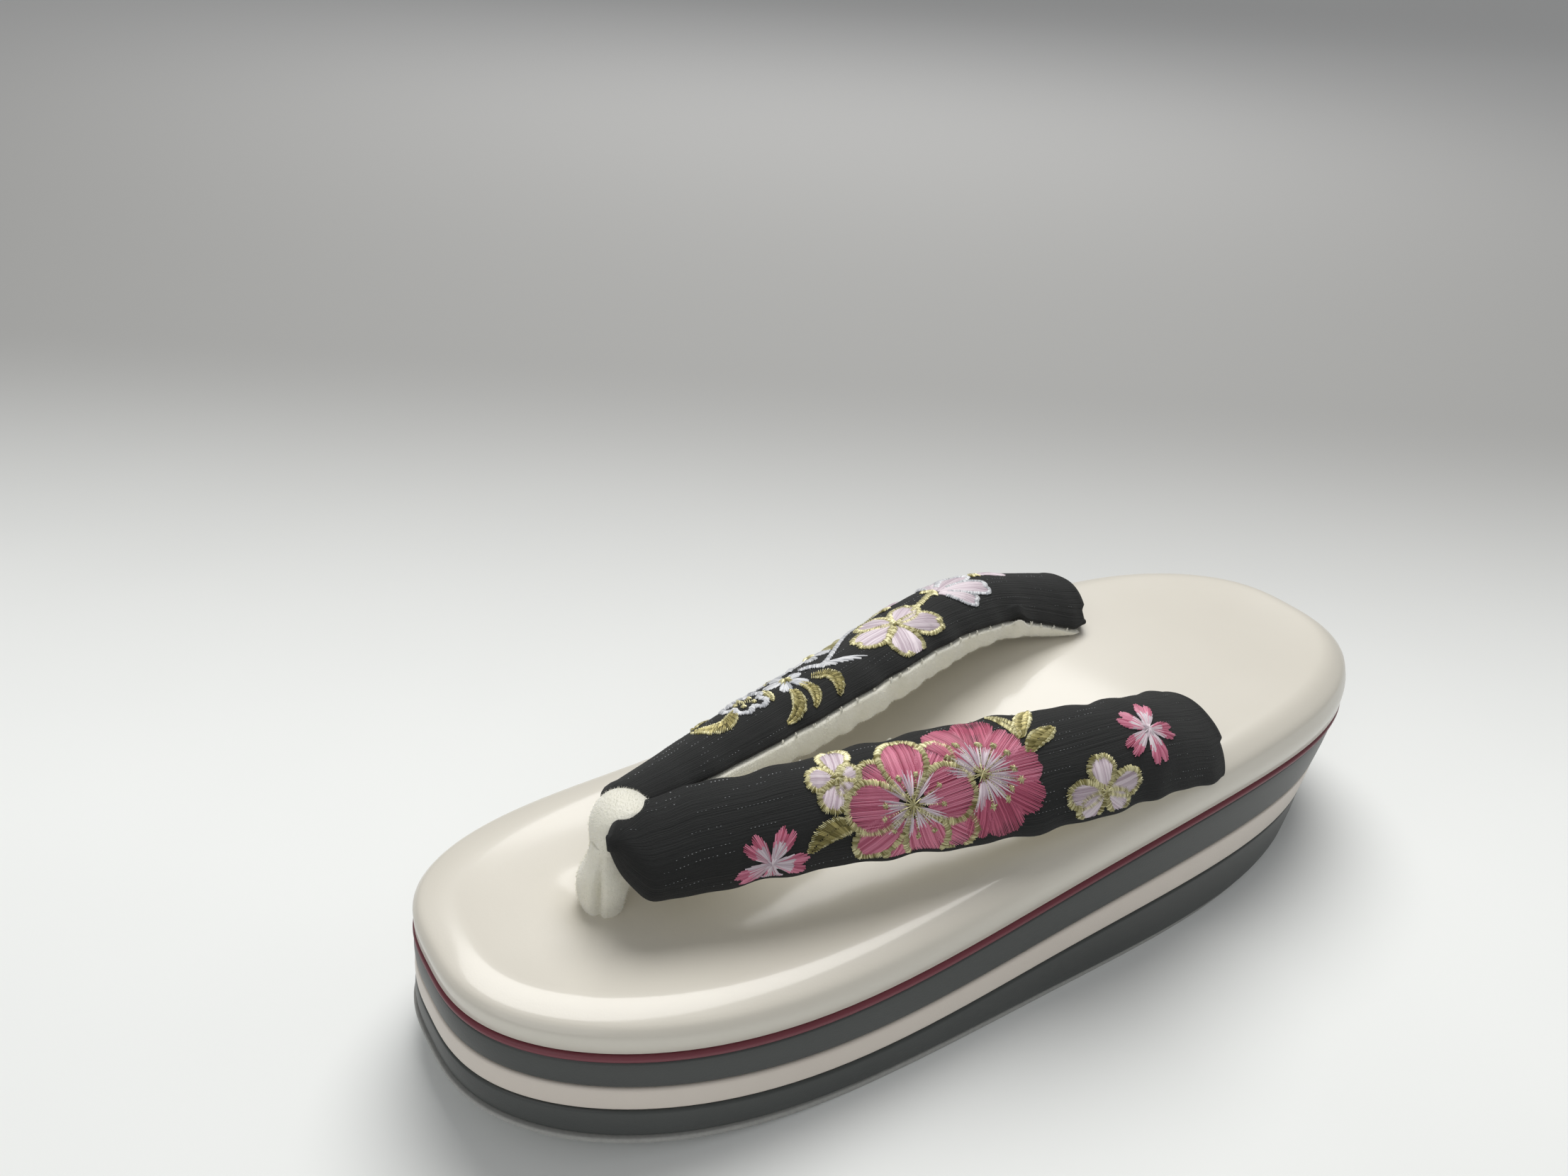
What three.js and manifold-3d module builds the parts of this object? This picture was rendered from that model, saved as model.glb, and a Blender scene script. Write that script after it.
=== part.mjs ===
// A zori sandal: a padded strap with two arms on a layered platform sole.
// Millimetres, +Z up. The toe points to -Y, the heel to +Y, +X is the wearer's left.
// The origin is on the floor, under the middle of the sole.
import * as THREE from 'three';
import { mergeVertices } from 'three/addons/utils/BufferGeometryUtils.js';
import Module from 'manifold-3d';

const wasm = await Module();
wasm.setup();

// Driving dimensions of the sole
const soleLength = 240;
const soleWidth = 81.5;
const platformHeight = 32.4;
const toeSpring = 9.2;
const springShare = 0.3;
const outsoleThickness = 1.4;
const outsoleReach = { toe: 0.5, heel: -1.2 };
const middleTierHeight = 7.4;
const upperTierHeight = 10.6;
const pipingHeight = 1.5;
const pipingInset = 0.3;
const heelTuck = 8.8;
const tierEdgeRound = 0.5;
const tierEdgeHeight = 1.1;

// Driving dimensions of the padded footbed
const footbedThickness = 11.5;
const rimWall = 3.3;
const rimRound = 7.6;
const rimTuck = 0.4;
const dishDepth = 1.2;
const dishWidth = 9;

// Driving dimensions of the strap
const strapRise = 21.8;
const strapCrown = 9.3;
const strapEdge = 1.2;
const crownFullness = 2.4;
const liningBelly = 3.2;
const bellyFullness = 6;
const bellyFloor = 0.2;
const liningHollow = 0.35;
const liningEdge = 0.4;
const liningShare = 0.95;
const endRound = 3.5;
const endTaper = 0.35;
const restOver = 2.2;
const liningOver = 1;
const tailWidth = 13;
const tailThickness = 6.4;

// The hand-set arms differ a little from each other.
// rear: how far an arm's rear end is set back. frontCut: how far its outer front corner is.
// rearCrown: how much higher its padding stands at the rear. nose: the left arm's rounded
// front laps round the toe post, the right arm's front is tucked behind it.
const hand = {
  left: { rear: -5.2, frontCut: 0, rearCrown: 0, nose: true },
  right: { rear: 4.6, frontCut: 6, rearCrown: 1.5, nose: false },
};

// Driving dimensions of the toe post
const postWidth = 9.2;
const postLength = 12;
const postHeight = 25.5;
const postLean = 5.6;

const gap = 0.3;
const seamOverlap = 0.25;
const outlineSteps = 44;
const armSteps = 22;
const postSides = 24;

// Shares along the sole from toe to heel, at even steps.
// halfWidth: of half the sole's width, before the round ends take hold.
// topLine: height of the footbed's lower edge, of the platform's height.
// upper, middle: tier heights, of the named tier heights.
// flare: how far the side leans in at the floor, of the heel's tuck.
const soleTable = [
  { halfWidth: 1.062, topLine: 0.908, upper: 0.57, middle: 0.74, flare: -0.14 },
  { halfWidth: 1.119, topLine: 0.647, upper: 0.64, middle: 0.70, flare: -0.29 },
  { halfWidth: 0.997, topLine: 0.790, upper: 0.78, middle: 0.78, flare: -0.36 },
  { halfWidth: 1.135, topLine: 1.000, upper: 1.00, middle: 1.00, flare: -0.11 },
  { halfWidth: 1.045, topLine: 0.966, upper: 1.12, middle: 1.08, flare: 1.00 },
];
const endBluntness = { toe: 0.68, heel: 0.71 };
const footbedShare = { toe: 0.555, heel: 1 };

// The arms of the strap, from the joint at the front to the blunt rear ends.
// innerAt, outerAt: place of each edge along the sole, from the toe, of its length.
// inner, outer: distance of each edge from the middle, of half the sole's width.
// innerUp, outerUp: height of each edge over the footbed, of the strap's rise.
// crown: how far the padded top swells over its edges, of the strap's crown.
const armTable = [
  { innerAt: 0.182, outerAt: 0.161, inner: -0.045, outer: 0.34, innerUp: 1.00, outerUp: 0.42, crown: 0.63 },
  { innerAt: 0.320, outerAt: 0.299, inner: 0.093, outer: 0.54, innerUp: 1.00, outerUp: 0.49, crown: 0.89 },
  { innerAt: 0.459, outerAt: 0.437, inner: 0.258, outer: 0.79, innerUp: 0.90, outerUp: 0.36, crown: 0.88 },
  { innerAt: 0.590, outerAt: 0.570, inner: 0.427, outer: 1.00, innerUp: 0.64, outerUp: 0.27, crown: 0.92 },
  { innerAt: 0.712, outerAt: 0.693, inner: 0.415, outer: 0.97, innerUp: 0.18, outerUp: 0.01, crown: 0.95 },
];

// The rounded nose of each arm beside the toe post, in front of the joint. Columns as above.
const noseTable = [
  { innerAt: 0.140, outerAt: 0.141, inner: 0.130, outer: 0.25, innerUp: 0.93, outerUp: 0.60, crown: 0.22 },
  { innerAt: 0.149, outerAt: 0.147, inner: 0.085, outer: 0.30, innerUp: 0.97, outerUp: 0.48, crown: 0.45 },
  { innerAt: 0.164, outerAt: 0.154, inner: 0.040, outer: 0.33, innerUp: 0.99, outerUp: 0.43, crown: 0.57 },
];

// The toe post from its foot in the hole to the top of its loop.
// height: of the post's height over the footbed. wide, long: of its width and length.
// pinch: how deep the crease between its two strands is, of its width.
const postTable = [
  { height: -0.20, wide: 0.98, long: 0.98, pinch: 0.30 },
  { height: 0.04, wide: 1.00, long: 1.00, pinch: 0.30 },
  { height: 0.20, wide: 1.00, long: 0.98, pinch: 0.30 },
  { height: 0.36, wide: 0.92, long: 0.84, pinch: 0.26 },
  { height: 0.50, wide: 0.80, long: 0.72, pinch: 0.18 },
  { height: 0.64, wide: 0.70, long: 0.68, pinch: 0.08 },
  { height: 0.78, wide: 0.66, long: 0.70, pinch: 0 },
  { height: 0.89, wide: 0.62, long: 0.68, pinch: 0 },
  { height: 0.96, wide: 0.52, long: 0.56, pinch: 0 },
  { height: 1.00, wide: 0.30, long: 0.34, pinch: 0 },
];
const postAlong = 0.143;
const tailAlong = 0.69;
const tailAcross = 0.67;

const halfLength = soleLength / 2;
const halfWidth = soleWidth / 2;

// A natural cubic spline through values at even steps from 0 to 1.
function evenSpline(values) {
  const last = values.length - 1;
  const bend = new Array(last + 1).fill(0);
  const lower = new Array(last + 1).fill(0);
  for (let i = 1; i < last; i++) {
    const pull = 6 * (values[i + 1] - 2 * values[i] + values[i - 1]);
    const pivot = 4 - (i > 1 ? lower[i - 1] : 0);
    lower[i] = 1 / pivot;
    bend[i] = (pull - (i > 1 ? bend[i - 1] : 0)) / pivot;
  }
  for (let i = last - 2; i > 0; i--) {
    bend[i] -= lower[i] * bend[i + 1];
  }
  return (share) => {
    const place = Math.min(Math.max(share, 0), 1) * last;
    const i = Math.min(Math.floor(place), last - 1);
    const b = place - i;
    const a = 1 - b;
    const curve = (a ** 3 - a) * bend[i] + (b ** 3 - b) * bend[i + 1];
    return a * values[i] + b * values[i + 1] + curve / 6;
  };
}

function column(table, name) {
  return evenSpline(table.map((row) => row[name]));
}

const mix = THREE.MathUtils.lerp;

// The sole's heights at a share s of its length from the toe
const widthAt = column(soleTable, 'halfWidth');
const topLineAt = column(soleTable, 'topLine');
const upperAt = column(soleTable, 'upper');
const middleAt = column(soleTable, 'middle');
const flareAt = column(soleTable, 'flare');
const shareOf = (y) => (y + halfLength) / soleLength;
const floorLine = (s) => toeSpring * Math.max(0, 1 - s / springShare) ** 2;
const topLine = (s) => platformHeight * topLineAt(s);
const upperTierTop = (s) => topLine(s) - pipingHeight;
const middleTierTop = (s) => upperTierTop(s) - upperTierHeight * upperAt(s);
const lowerTierTop = (s) => middleTierTop(s) - middleTierHeight * middleAt(s);
const outsoleTop = (s) => floorLine(s) + outsoleThickness;
const crestHeight = (s) => footbedThickness * mix(footbedShare.toe, footbedShare.heel, s);
const lean = (s, z) => {
  const depth = (topLine(s) - z) / (topLine(s) - floorLine(s));
  return -heelTuck * flareAt(s) * Math.max(0, depth);
};

// Outline of the sole seen from above: the point and outward normal at each step
function outlinePoint(u) {
  const s = (1 - Math.cos(Math.PI * u)) / 2;
  const blunt = mix(endBluntness.toe, endBluntness.heel, s);
  const x = halfWidth * widthAt(u) * Math.max(0, Math.sin(Math.PI * u)) ** blunt;
  return new THREE.Vector2(x, -halfLength * Math.cos(Math.PI * u));
}

const evenShare = (w) => w - (0.5 * Math.sin(2 * Math.PI * w)) / (2 * Math.PI);
const outline = [];
for (let k = 0; k < 2 * outlineSteps; k++) {
  const side = k <= outlineSteps ? 1 : -1;
  const w = k <= outlineSteps ? k / outlineSteps : 2 - k / outlineSteps;
  const point = outlinePoint(evenShare(w));
  point.x *= side;
  outline.push({ point });
}
outline.forEach((step, k) => {
  const before = outline.at(k - 1).point;
  const after = outline[(k + 1) % outline.length].point;
  const along = after.clone().sub(before).normalize();
  step.normal = new THREE.Vector2(along.y, -along.x);
});

// Height of the footbed's padded top over a point in plan
function halfWidthAt(y) {
  const u = Math.acos(THREE.MathUtils.clamp(-y / halfLength, -1, 1)) / Math.PI;
  return outlinePoint(u).x;
}

function footbedTop(x, y) {
  const s = shareOf(y);
  const inside = Math.max(0, halfWidthAt(y) - Math.abs(x));
  const crest = topLine(s) + crestHeight(s);
  if (inside < rimRound) {
    const reach = 1 - inside / rimRound;
    return topLine(s) + rimWall + (crestHeight(s) - rimWall) * Math.sqrt(1 - reach * reach);
  }
  const dish = THREE.MathUtils.smoothstep(inside - rimRound, 0, dishWidth);
  return crest - dishDepth * dish;
}

// Closed solid from a stack of rings with as many points in each.
// The end rings are closed by a fan, or by strips across an outline that mirrors left to right.
function loft(rings, acrossStrips) {
  const count = rings[0].length;
  const position = rings.flat().flatMap((p) => [p.x, p.y, p.z]);
  const index = [];
  const quad = (a, b, c, d) => index.push(a, b, c, a, c, d);
  for (let r = 0; r + 1 < rings.length; r++) {
    for (let k = 0; k < count; k++) {
      const next = (k + 1) % count;
      quad(r * count + k, r * count + next, (r + 1) * count + next, (r + 1) * count + k);
    }
  }
  const cap = (start, flip) => {
    const face = (a, b, c) => index.push(start + a, start + (flip ? c : b), start + (flip ? b : c));
    if (!acrossStrips) {
      for (let k = 1; k + 1 < count; k++) face(0, k, k + 1);
      return;
    }
    const half = count / 2;
    face(0, 1, count - 1);
    for (let k = 1; k + 1 < half; k++) {
      face(k, k + 1, count - k - 1);
      face(k, count - k - 1, count - k);
    }
    face(half - 1, half, half + 1);
  };
  cap(0, true);
  cap((rings.length - 1) * count, false);
  const geometry = new THREE.BufferGeometry();
  geometry.setAttribute('position', new THREE.Float32BufferAttribute(position, 3));
  geometry.setIndex(index);
  return geometry;
}

// One ring of the sole: the outline moved out by a distance, at a height that follows the length
function soleRing(offset, height) {
  return outline.map(({ point, normal }) => {
    const s0 = shareOf(point.y);
    const out = offset(s0) + lean(s0, height(s0));
    const x = point.x + normal.x * out;
    const y = point.y + normal.y * out;
    return new THREE.Vector3(x, y, height(shareOf(y)));
  });
}

// A tier of the platform with softly rounded edges, between two heights
function tier(bottom, top) {
  return loft([
    soleRing(() => -tierEdgeRound / 2, bottom),
    soleRing(() => 0, (s) => bottom(s) + tierEdgeHeight),
    soleRing(() => 0, (s) => top(s) - gap - tierEdgeHeight),
    soleRing(() => -tierEdgeRound, (s) => top(s) - gap),
  ], true);
}

// A thin sheet of the sole between two heights, moved out past the tiers or in under them
function sheet(bottom, top, reach) {
  return loft([
    soleRing(reach, bottom),
    soleRing(reach, (s) => top(s) - gap),
  ], true);
}

function toSolid(geometry) {
  const bare = geometry.clone();
  bare.deleteAttribute('normal');
  bare.deleteAttribute('uv');
  const merged = mergeVertices(bare, 1e-5);
  return new wasm.Manifold(new wasm.Mesh({
    numProp: 3,
    vertProperties: new Float32Array(merged.attributes.position.array),
    triVerts: new Uint32Array(merged.index.array),
  }));
}

function toGeometry(solid) {
  const mesh = solid.getMesh();
  const geometry = new THREE.BufferGeometry();
  geometry.setAttribute('position', new THREE.BufferAttribute(mesh.vertProperties, 3));
  geometry.setIndex(new THREE.BufferAttribute(mesh.triVerts, 1));
  return geometry;
}

function mirrored(geometry) {
  const copy = geometry.clone();
  copy.scale(-1, 1, 1);
  const index = copy.index.array;
  for (let i = 0; i < index.length; i += 3) {
    [index[i + 1], index[i + 2]] = [index[i + 2], index[i + 1]];
  }
  return copy;
}

// Footbed: a low wall, a rounded rim and a shallow dish inside its crest
function footbedBlank() {
  const rimAngles = [0, 25, 45, 65, 90];
  const rings = [soleRing(() => -rimTuck, topLine)];
  for (const degrees of rimAngles) {
    const angle = THREE.MathUtils.degToRad(degrees);
    const inset = rimRound * (1 - Math.cos(angle));
    rings.push(soleRing(
      () => -inset,
      (s) => topLine(s) + rimWall + (crestHeight(s) - rimWall) * Math.sin(angle),
    ));
  }
  for (const share of [0.5, 1]) {
    rings.push(soleRing(
      () => -rimRound - dishWidth * share,
      (s) => topLine(s) + crestHeight(s) - dishDepth * THREE.MathUtils.smoothstep(share, 0, 1),
    ));
  }
  return loft(rings, true);
}

// Toe post: two strands side by side at its foot, one loop at its top
const postY = postAlong * soleLength - halfLength;
const postFoot = footbedTop(0, postY);
const postSeat = topLine(shareOf(postY - postLength / 2)) + gap;
function postSolid(extra) {
  const rings = postTable.map((row) => {
    const ring = [];
    const centreY = postY + postLean * Math.max(0, row.height);
    for (let k = 0; k < postSides; k++) {
      const angle = (2 * Math.PI * k) / postSides;
      const crease = 1 - row.pinch * (1 - Math.abs(Math.sin(angle))) ** 2;
      const x = (row.wide * postWidth / 2) * crease + extra;
      const y = (row.long * postLength) / 2 + extra;
      ring.push(new THREE.Vector3(x * Math.cos(angle), centreY + y * Math.sin(angle), 0));
    }
    const z = row.height < 0 ? postSeat : postFoot + row.height * postHeight;
    ring.forEach((p) => { p.z = z; });
    return ring;
  });
  rings.at(-1).forEach((p) => { p.z += extra; });
  rings[0].forEach((p) => { p.z -= extra; });
  return toSolid(loft(rings, false));
}

// Tail of an arm: the gathered end that goes down into its hole in the footbed
function tailSolid(side, extra) {
  const y = tailAlong * soleLength - halfLength + (side > 0 ? hand.left.rear : hand.right.rear);
  const x = side * tailAcross * halfWidth;
  const foot = topLine(shareOf(y + tailThickness / 2)) + gap - extra;
  const head = footbedTop(x, y) + strapCrown / 2;
  const tail = new THREE.CylinderGeometry(1, 1, head - foot, postSides);
  tail.rotateX(Math.PI / 2);
  tail.scale(tailWidth / 2 + extra, tailThickness / 2 + extra, 1);
  tail.translate(x, y, (head + foot) / 2);
  return toSolid(tail);
}

// Edges and crown of an arm at one row of its tables, on the +X side.
// shift moves an edge to the rear, swell raises the crown.
function armFrame(row, shift = { inner: 0, outer: 0 }, swell = 0) {
  const edge = (along, across, rise) => {
    const y = along * soleLength - halfLength;
    return new THREE.Vector3(across * halfWidth, y, footbedTop(0, y) + rise * strapRise);
  };
  const inner = edge(row.innerAt, row.inner, row.innerUp);
  const outer = edge(row.outerAt, row.outer, row.outerUp);
  inner.y += shift.inner;
  outer.y += shift.outer;
  return { inner, outer, crown: row.crown * strapCrown + swell };
}

const armColumns = Object.keys(armTable[0]);
const armSplines = armColumns.map((name) => [name, column(armTable, name)]);
const armRow = (t) => Object.fromEntries(armSplines.map(([name, at]) => [name, at(t)]));
function armFrames({ rear, frontCut, rearCrown, nose }) {
  const frames = nose ? noseTable.map((row) => armFrame(row)) : [];
  for (let k = 0; k <= armSteps; k++) {
    const t = k / armSteps;
    const inner = rear * t * t;
    const shift = { inner, outer: inner + frontCut * (1 - t) ** 6 };
    frames.push(armFrame(armRow(t), shift, rearCrown * t * t));
  }
  return frames;
}

// Direction that stands up from the chord between the arm's edges, at a frame
function crownwards(frames, k) {
  const middle = (i) => frames[i].inner.clone().add(frames[i].outer);
  const last = frames.length - 1;
  const along = middle(Math.min(k + 1, last)).sub(middle(Math.max(k - 1, 0)));
  const across = frames[k].outer.clone().sub(frames[k].inner);
  return across.cross(along).normalize();
}

// The rings of one arm. section lists [place across from -1 to 1, height over the chord,
// least height over the footbed, so that the soft band bends round the footbed's rim].
// Where the arms are joined, the inner edge of the section stands on the plane between them.
function armRings(section, innerLimit, handed) {
  const frames = armFrames(handed);
  const rings = frames.map((frame, k) => {
    const up = crownwards(frames, k);
    const chord = frame.outer.clone().sub(frame.inner);
    return section(frame.crown).map(([place, height, clear]) => {
      const point = frame.inner.clone().addScaledVector(chord, (place + 1) / 2);
      point.addScaledVector(up, height);
      const short = innerLimit - point.x;
      const joined = frame.inner.x < 0 && place < -0.85;
      if (joined || short > 0) point.addScaledVector(chord, short / chord.x);
      point.z = Math.max(point.z, footbedTop(point.x, point.y) + clear);
      return point;
    });
  });
  // the blunt rear end is rounded off by shrinking copies of the last ring
  const lastRing = rings.at(-1);
  const centre = lastRing.reduce((sum, p) => sum.add(p), new THREE.Vector3());
  centre.divideScalar(lastRing.length);
  for (const degrees of [40, 75]) {
    const angle = THREE.MathUtils.degToRad(degrees);
    const shrink = 1 - (1 - Math.cos(angle)) * endTaper;
    rings.push(lastRing.map((p) => {
      const q = p.clone().sub(centre).multiplyScalar(shrink).add(centre);
      q.y += endRound * Math.sin(angle);
      return q;
    }));
  }
  return rings;
}

const coverPlaces = [-1, -0.92, -0.75, -0.5, -0.2, 0.2, 0.5, 0.75, 0.92, 1];
const seamPlaces = [0.9, 0.4, -0.4, -0.9];
const coverSection = (crown) => {
  const swell = (v) => gap / 2 + strapEdge + (crown - strapEdge) * (1 - Math.abs(v) ** crownFullness);
  return [
    ...coverPlaces.map((v) => [v, swell(v), restOver + strapEdge]),
    ...seamPlaces.map((v) => [v, gap / 2, restOver]),
  ];
};
const liningPlaces = [1, 0.9, 0.7, 0.35, 0, -0.35, -0.7, -0.9, -1];
const liningSection = (crown) => {
  const belly = liningBelly * Math.min(1, crown / strapCrown + bellyFloor);
  const under = (v) => {
    const hollow = 1 - liningHollow * (1 - v * v);
    return -gap / 2 - liningEdge - belly * (1 - Math.abs(v) ** bellyFullness) * hollow;
  };
  return [
    ...liningPlaces.map((v) => [v * liningShare, under(v), liningOver]),
    ...seamPlaces.toReversed().map((v) => [v, -gap / 2, restOver - 2 * gap]),
  ];
};

// Left and right arm of one section
function armPair(section, innerLimit) {
  const left = loft(armRings(section, innerLimit, hand.left), false);
  const right = loft(armRings(section, innerLimit, hand.right), false);
  return [toSolid(left), toSolid(mirrored(right))];
}

const post = postSolid(0);
const postRoom = postSolid(gap);
const tails = [1, -1].map((side) => tailSolid(side, 0));
const tailRooms = [1, -1].map((side) => tailSolid(side, gap));

const [coverLeft, coverRight] = armPair(coverSection, -seamOverlap);
const cover = coverLeft.add(coverRight).subtract(postRoom).add(tails[0]).add(tails[1]);
// the linings keep clear of the cover above them and of the footbed below
const coverRoom = cover.translate([0, 0, -0.8 * gap]);
const blank = toSolid(footbedBlank());
const footbedRoom = blank.translate([0, 0, gap]);
const linings = armPair(liningSection, gap / 2).map((arm, k) => arm
  .subtract(postRoom)
  .subtract(tailRooms[k])
  .subtract(coverRoom)
  .subtract(footbedRoom));
const footbed = blank
  .subtract(postRoom)
  .subtract(tailRooms[0])
  .subtract(tailRooms[1]);

function material(color, roughness, metalness = 0) {
  return new THREE.MeshStandardMaterial({ color, roughness, metalness });
}

const rubberGrey = material(0x737371, 0.8);
const charcoalLeather = material(0x404241, 0.45);
const beigeLeather = material(0xc4bbb2, 0.5);
const burgundyTrim = material(0x6e3d43, 0.5);
const ivoryLeather = material(0xe0dcd0, 0.45);
const blackCrepe = material(0x262827, 0.85);
const creamVelvet = material(0xe6e2d0, 0.95);

const sandal = new THREE.Group();
function addPiece(name, geometry, finish) {
  const mesh = new THREE.Mesh(geometry, finish);
  mesh.name = name;
  sandal.add(mesh);
}

const outsoleEdge = (s) => mix(outsoleReach.toe, outsoleReach.heel, s);
addPiece('outsole', sheet(floorLine, outsoleTop, outsoleEdge), rubberGrey);
addPiece('tier_lower', tier(outsoleTop, lowerTierTop), charcoalLeather);
addPiece('tier_middle', tier(lowerTierTop, middleTierTop), beigeLeather);
addPiece('tier_upper', tier(middleTierTop, upperTierTop), charcoalLeather);
addPiece('piping', sheet(upperTierTop, topLine, () => -pipingInset), burgundyTrim);
addPiece('footbed', toGeometry(footbed), ivoryLeather);
addPiece('strap_cover', toGeometry(cover), blackCrepe);
addPiece('strap_lining_left', toGeometry(linings[0]), creamVelvet);
addPiece('strap_lining_right', toGeometry(linings[1]), creamVelvet);
addPiece('toe_post', toGeometry(post), creamVelvet);

export default sandal;
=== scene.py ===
# A zori sandal, dressed: padded crepe strap with charted embroidery on a layered platform.
# Sizes are in millimetres in the shoe's own frame: toe to -Y, heel to +Y, floor at Z = 0.
import random
from math import acos, asin, copysign, cos, exp, hypot, pi, radians, remainder, sin, sqrt
import bpy
import numpy as np
from mathutils import Matrix, Vector
from numpy.linalg import norm


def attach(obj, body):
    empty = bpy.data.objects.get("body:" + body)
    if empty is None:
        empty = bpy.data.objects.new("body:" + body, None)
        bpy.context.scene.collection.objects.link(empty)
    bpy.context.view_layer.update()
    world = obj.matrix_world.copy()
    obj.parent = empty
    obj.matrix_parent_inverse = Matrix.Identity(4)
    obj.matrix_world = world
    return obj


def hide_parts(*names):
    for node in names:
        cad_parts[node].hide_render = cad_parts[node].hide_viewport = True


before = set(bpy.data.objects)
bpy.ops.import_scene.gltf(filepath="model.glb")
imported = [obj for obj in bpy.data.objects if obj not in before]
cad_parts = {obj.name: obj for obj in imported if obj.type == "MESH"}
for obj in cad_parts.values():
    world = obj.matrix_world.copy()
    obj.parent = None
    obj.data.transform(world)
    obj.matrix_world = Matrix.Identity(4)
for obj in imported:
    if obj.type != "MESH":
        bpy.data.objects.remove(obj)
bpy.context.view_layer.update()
MM = 0.001

# Driving sizes of the sole, as in the frame's solids
SOLE_LENGTH = 240.0
SOLE_WIDTH = 81.5
PLATFORM = 32.4
TOE_SPRING = 9.2
SPRING_SHARE = 0.3
OUTSOLE = 1.4
OUTSOLE_REACH = {"toe": 0.5, "heel": -1.2}
MIDDLE_TIER = 7.4
UPPER_TIER = 10.6
PIPING = 1.5
PIPING_PROUD = 0.3
PIPING_SINK = 0.35
HEEL_TUCK = 8.8
FOOTBED = 11.5
FOOTBED_SHARE = {"toe": 0.555, "heel": 1.0}
RIM_WALL = 3.3
RIM_ROUND = 7.6
RIM_TUCK = 0.4
DISH_DEPTH = 0.85
DISH_WIDTH = 13.0
END_BLUNTNESS = {"toe": 0.68, "heel": 0.71}
GAP = 0.3

# A soft second ridge low on the rim, where the foam's cut edge shows through the cover
RIM_RIDGE = 0.34
RIDGE_TURN = 40
RIDGE_WIDE = 12

# Driving sizes of the strap
STRAP_RISE = 21.8
STRAP_CROWN = 9.3
STRAP_EDGE = 1.2
CROWN_FULLNESS = 2.4
REST_OVER = 2.2
CREASE = 0.5
ARM_STEPS = 22
FLARE_FROM = 0.8
EDGE_WAVE = 0.022
PINCH = {"at": 0.83, "wide": 0.013, "edge": -0.9}
ARM_RINGS = 150
AROUND_MM = 74.0
SETTLE = 0.15
END_CORNER = 0.3

# The velvet lining under an arm
LINING_BELLY = 3.2
LINING_EDGE = 0.4
LINING_OVER = 1.0
LINING_LIP = 0.1
OUTER_LINING_SHARE = 0.9
LINING_TO = 0.985

# The left arm's nose, which wraps the post, from its tip back to the front joint:
# the inner edge's x, y and z, the outer edge's, and the crown
NOSE_ROWS = [
    (4.9, -86.5, 50.2, 6.2, -86.8, 47.2, 1.9),
    (3.6, -85.3, 50.5, 7.8, -86.3, 44.6, 3.3),
    (2.0, -83.2, 50.6, 10.2, -85.2, 41.9, 4.4),
    (0.6, -80.3, 50.5, 12.4, -83.2, 39.6, 5.1),
    (-0.6, -76.2, 50.2, 14.3, -79.8, 38.4, 5.7),
]
# What differs between the arms; moves shift the rear end's inner edge, outer edge and crown
HAND = {
    "left": dict(
        flip=1.0, rear=-5.2, front_cut=0.0, rear_crown=0.0, nose=NOSE_ROWS, pinch=0.0,
        moves=(0.3, 0.0, 0.9, 1.8, 1.2, -1.2, -2.6), front_end=0.9, end_round=2.0, end_taper=0.3,
        lining_share=0.95, lining_from=0.15, lining_sag=2.0,
    ),
    "right": dict(
        flip=-1.0, rear=4.6, front_cut=6.0, rear_crown=1.5, nose=[], pinch=1.3,
        moves=(-1.4, 0.6, -2.8, 0.0, 0.0, 0.0, 0.0), front_end=4.4, end_round=3.5, end_taper=0.5,
        lining_share=1.02, lining_from=0.0, lining_sag=6.2,
    ),
}

# The toe post
POST_ALONG = 0.143
POST_DIMPLE = {"depth": 0.7, "radius": 4.8, "spread": 3.6}
FOOT_Y = -85.3
FOOT_CREASE = radians(-36)
CREASE_WIDE = 0.14

HALF_LENGTH = SOLE_LENGTH / 2
HALF_WIDTH = SOLE_WIDTH / 2


def even_spline(values):
    """A natural cubic spline through values at even steps from 0 to 1."""
    last = len(values) - 1
    bend = [0.0] * (last + 1)
    lower = [0.0] * (last + 1)
    for i in range(1, last):
        pull = 6 * (values[i + 1] - 2 * values[i] + values[i - 1])
        pivot = 4 - (lower[i - 1] if i > 1 else 0)
        lower[i] = 1 / pivot
        bend[i] = (pull - (bend[i - 1] if i > 1 else 0)) / pivot
    for i in range(last - 2, 0, -1):
        bend[i] -= lower[i] * bend[i + 1]

    def at(share):
        place = clamp(share) * last
        i = min(int(place), last - 1)
        b = place - i
        a = 1 - b
        curve = (a**3 - a) * bend[i] + (b**3 - b) * bend[i + 1]
        return a * values[i] + b * values[i + 1] + curve / 6

    return at


def columns(names, rows):
    """A spline for each column of a table."""
    return {name: even_spline(list(values)) for name, values in zip(names.split(), zip(*rows))}


def row_at(table, t):
    return {name: at(t) for name, at in table.items()}


def clamp(value, low=0.0, high=1.0):
    return min(max(value, low), high)


def bell(x, width):
    return exp(-((x / width) ** 2))


def mix(ends, s):
    return ends["toe"] + (ends["heel"] - ends["toe"]) * s


def smooth(t):
    t = clamp(t)
    return t * t * (3 - 2 * t)


# Shares along the sole from toe to heel, at even steps
SOLE = columns("half_width top_line upper middle flare", [
    (1.062, 0.908, 0.57, 0.74, -0.14),
    (1.119, 0.647, 0.64, 0.70, -0.29),
    (0.997, 0.790, 0.78, 0.78, -0.36),
    (1.135, 1.000, 1.00, 1.00, -0.11),
    (1.045, 0.966, 1.12, 1.08, 1.00),
])


# The sole's heights at a share s of its length from the toe


def share_of(y):
    return (y + HALF_LENGTH) / SOLE_LENGTH


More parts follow.
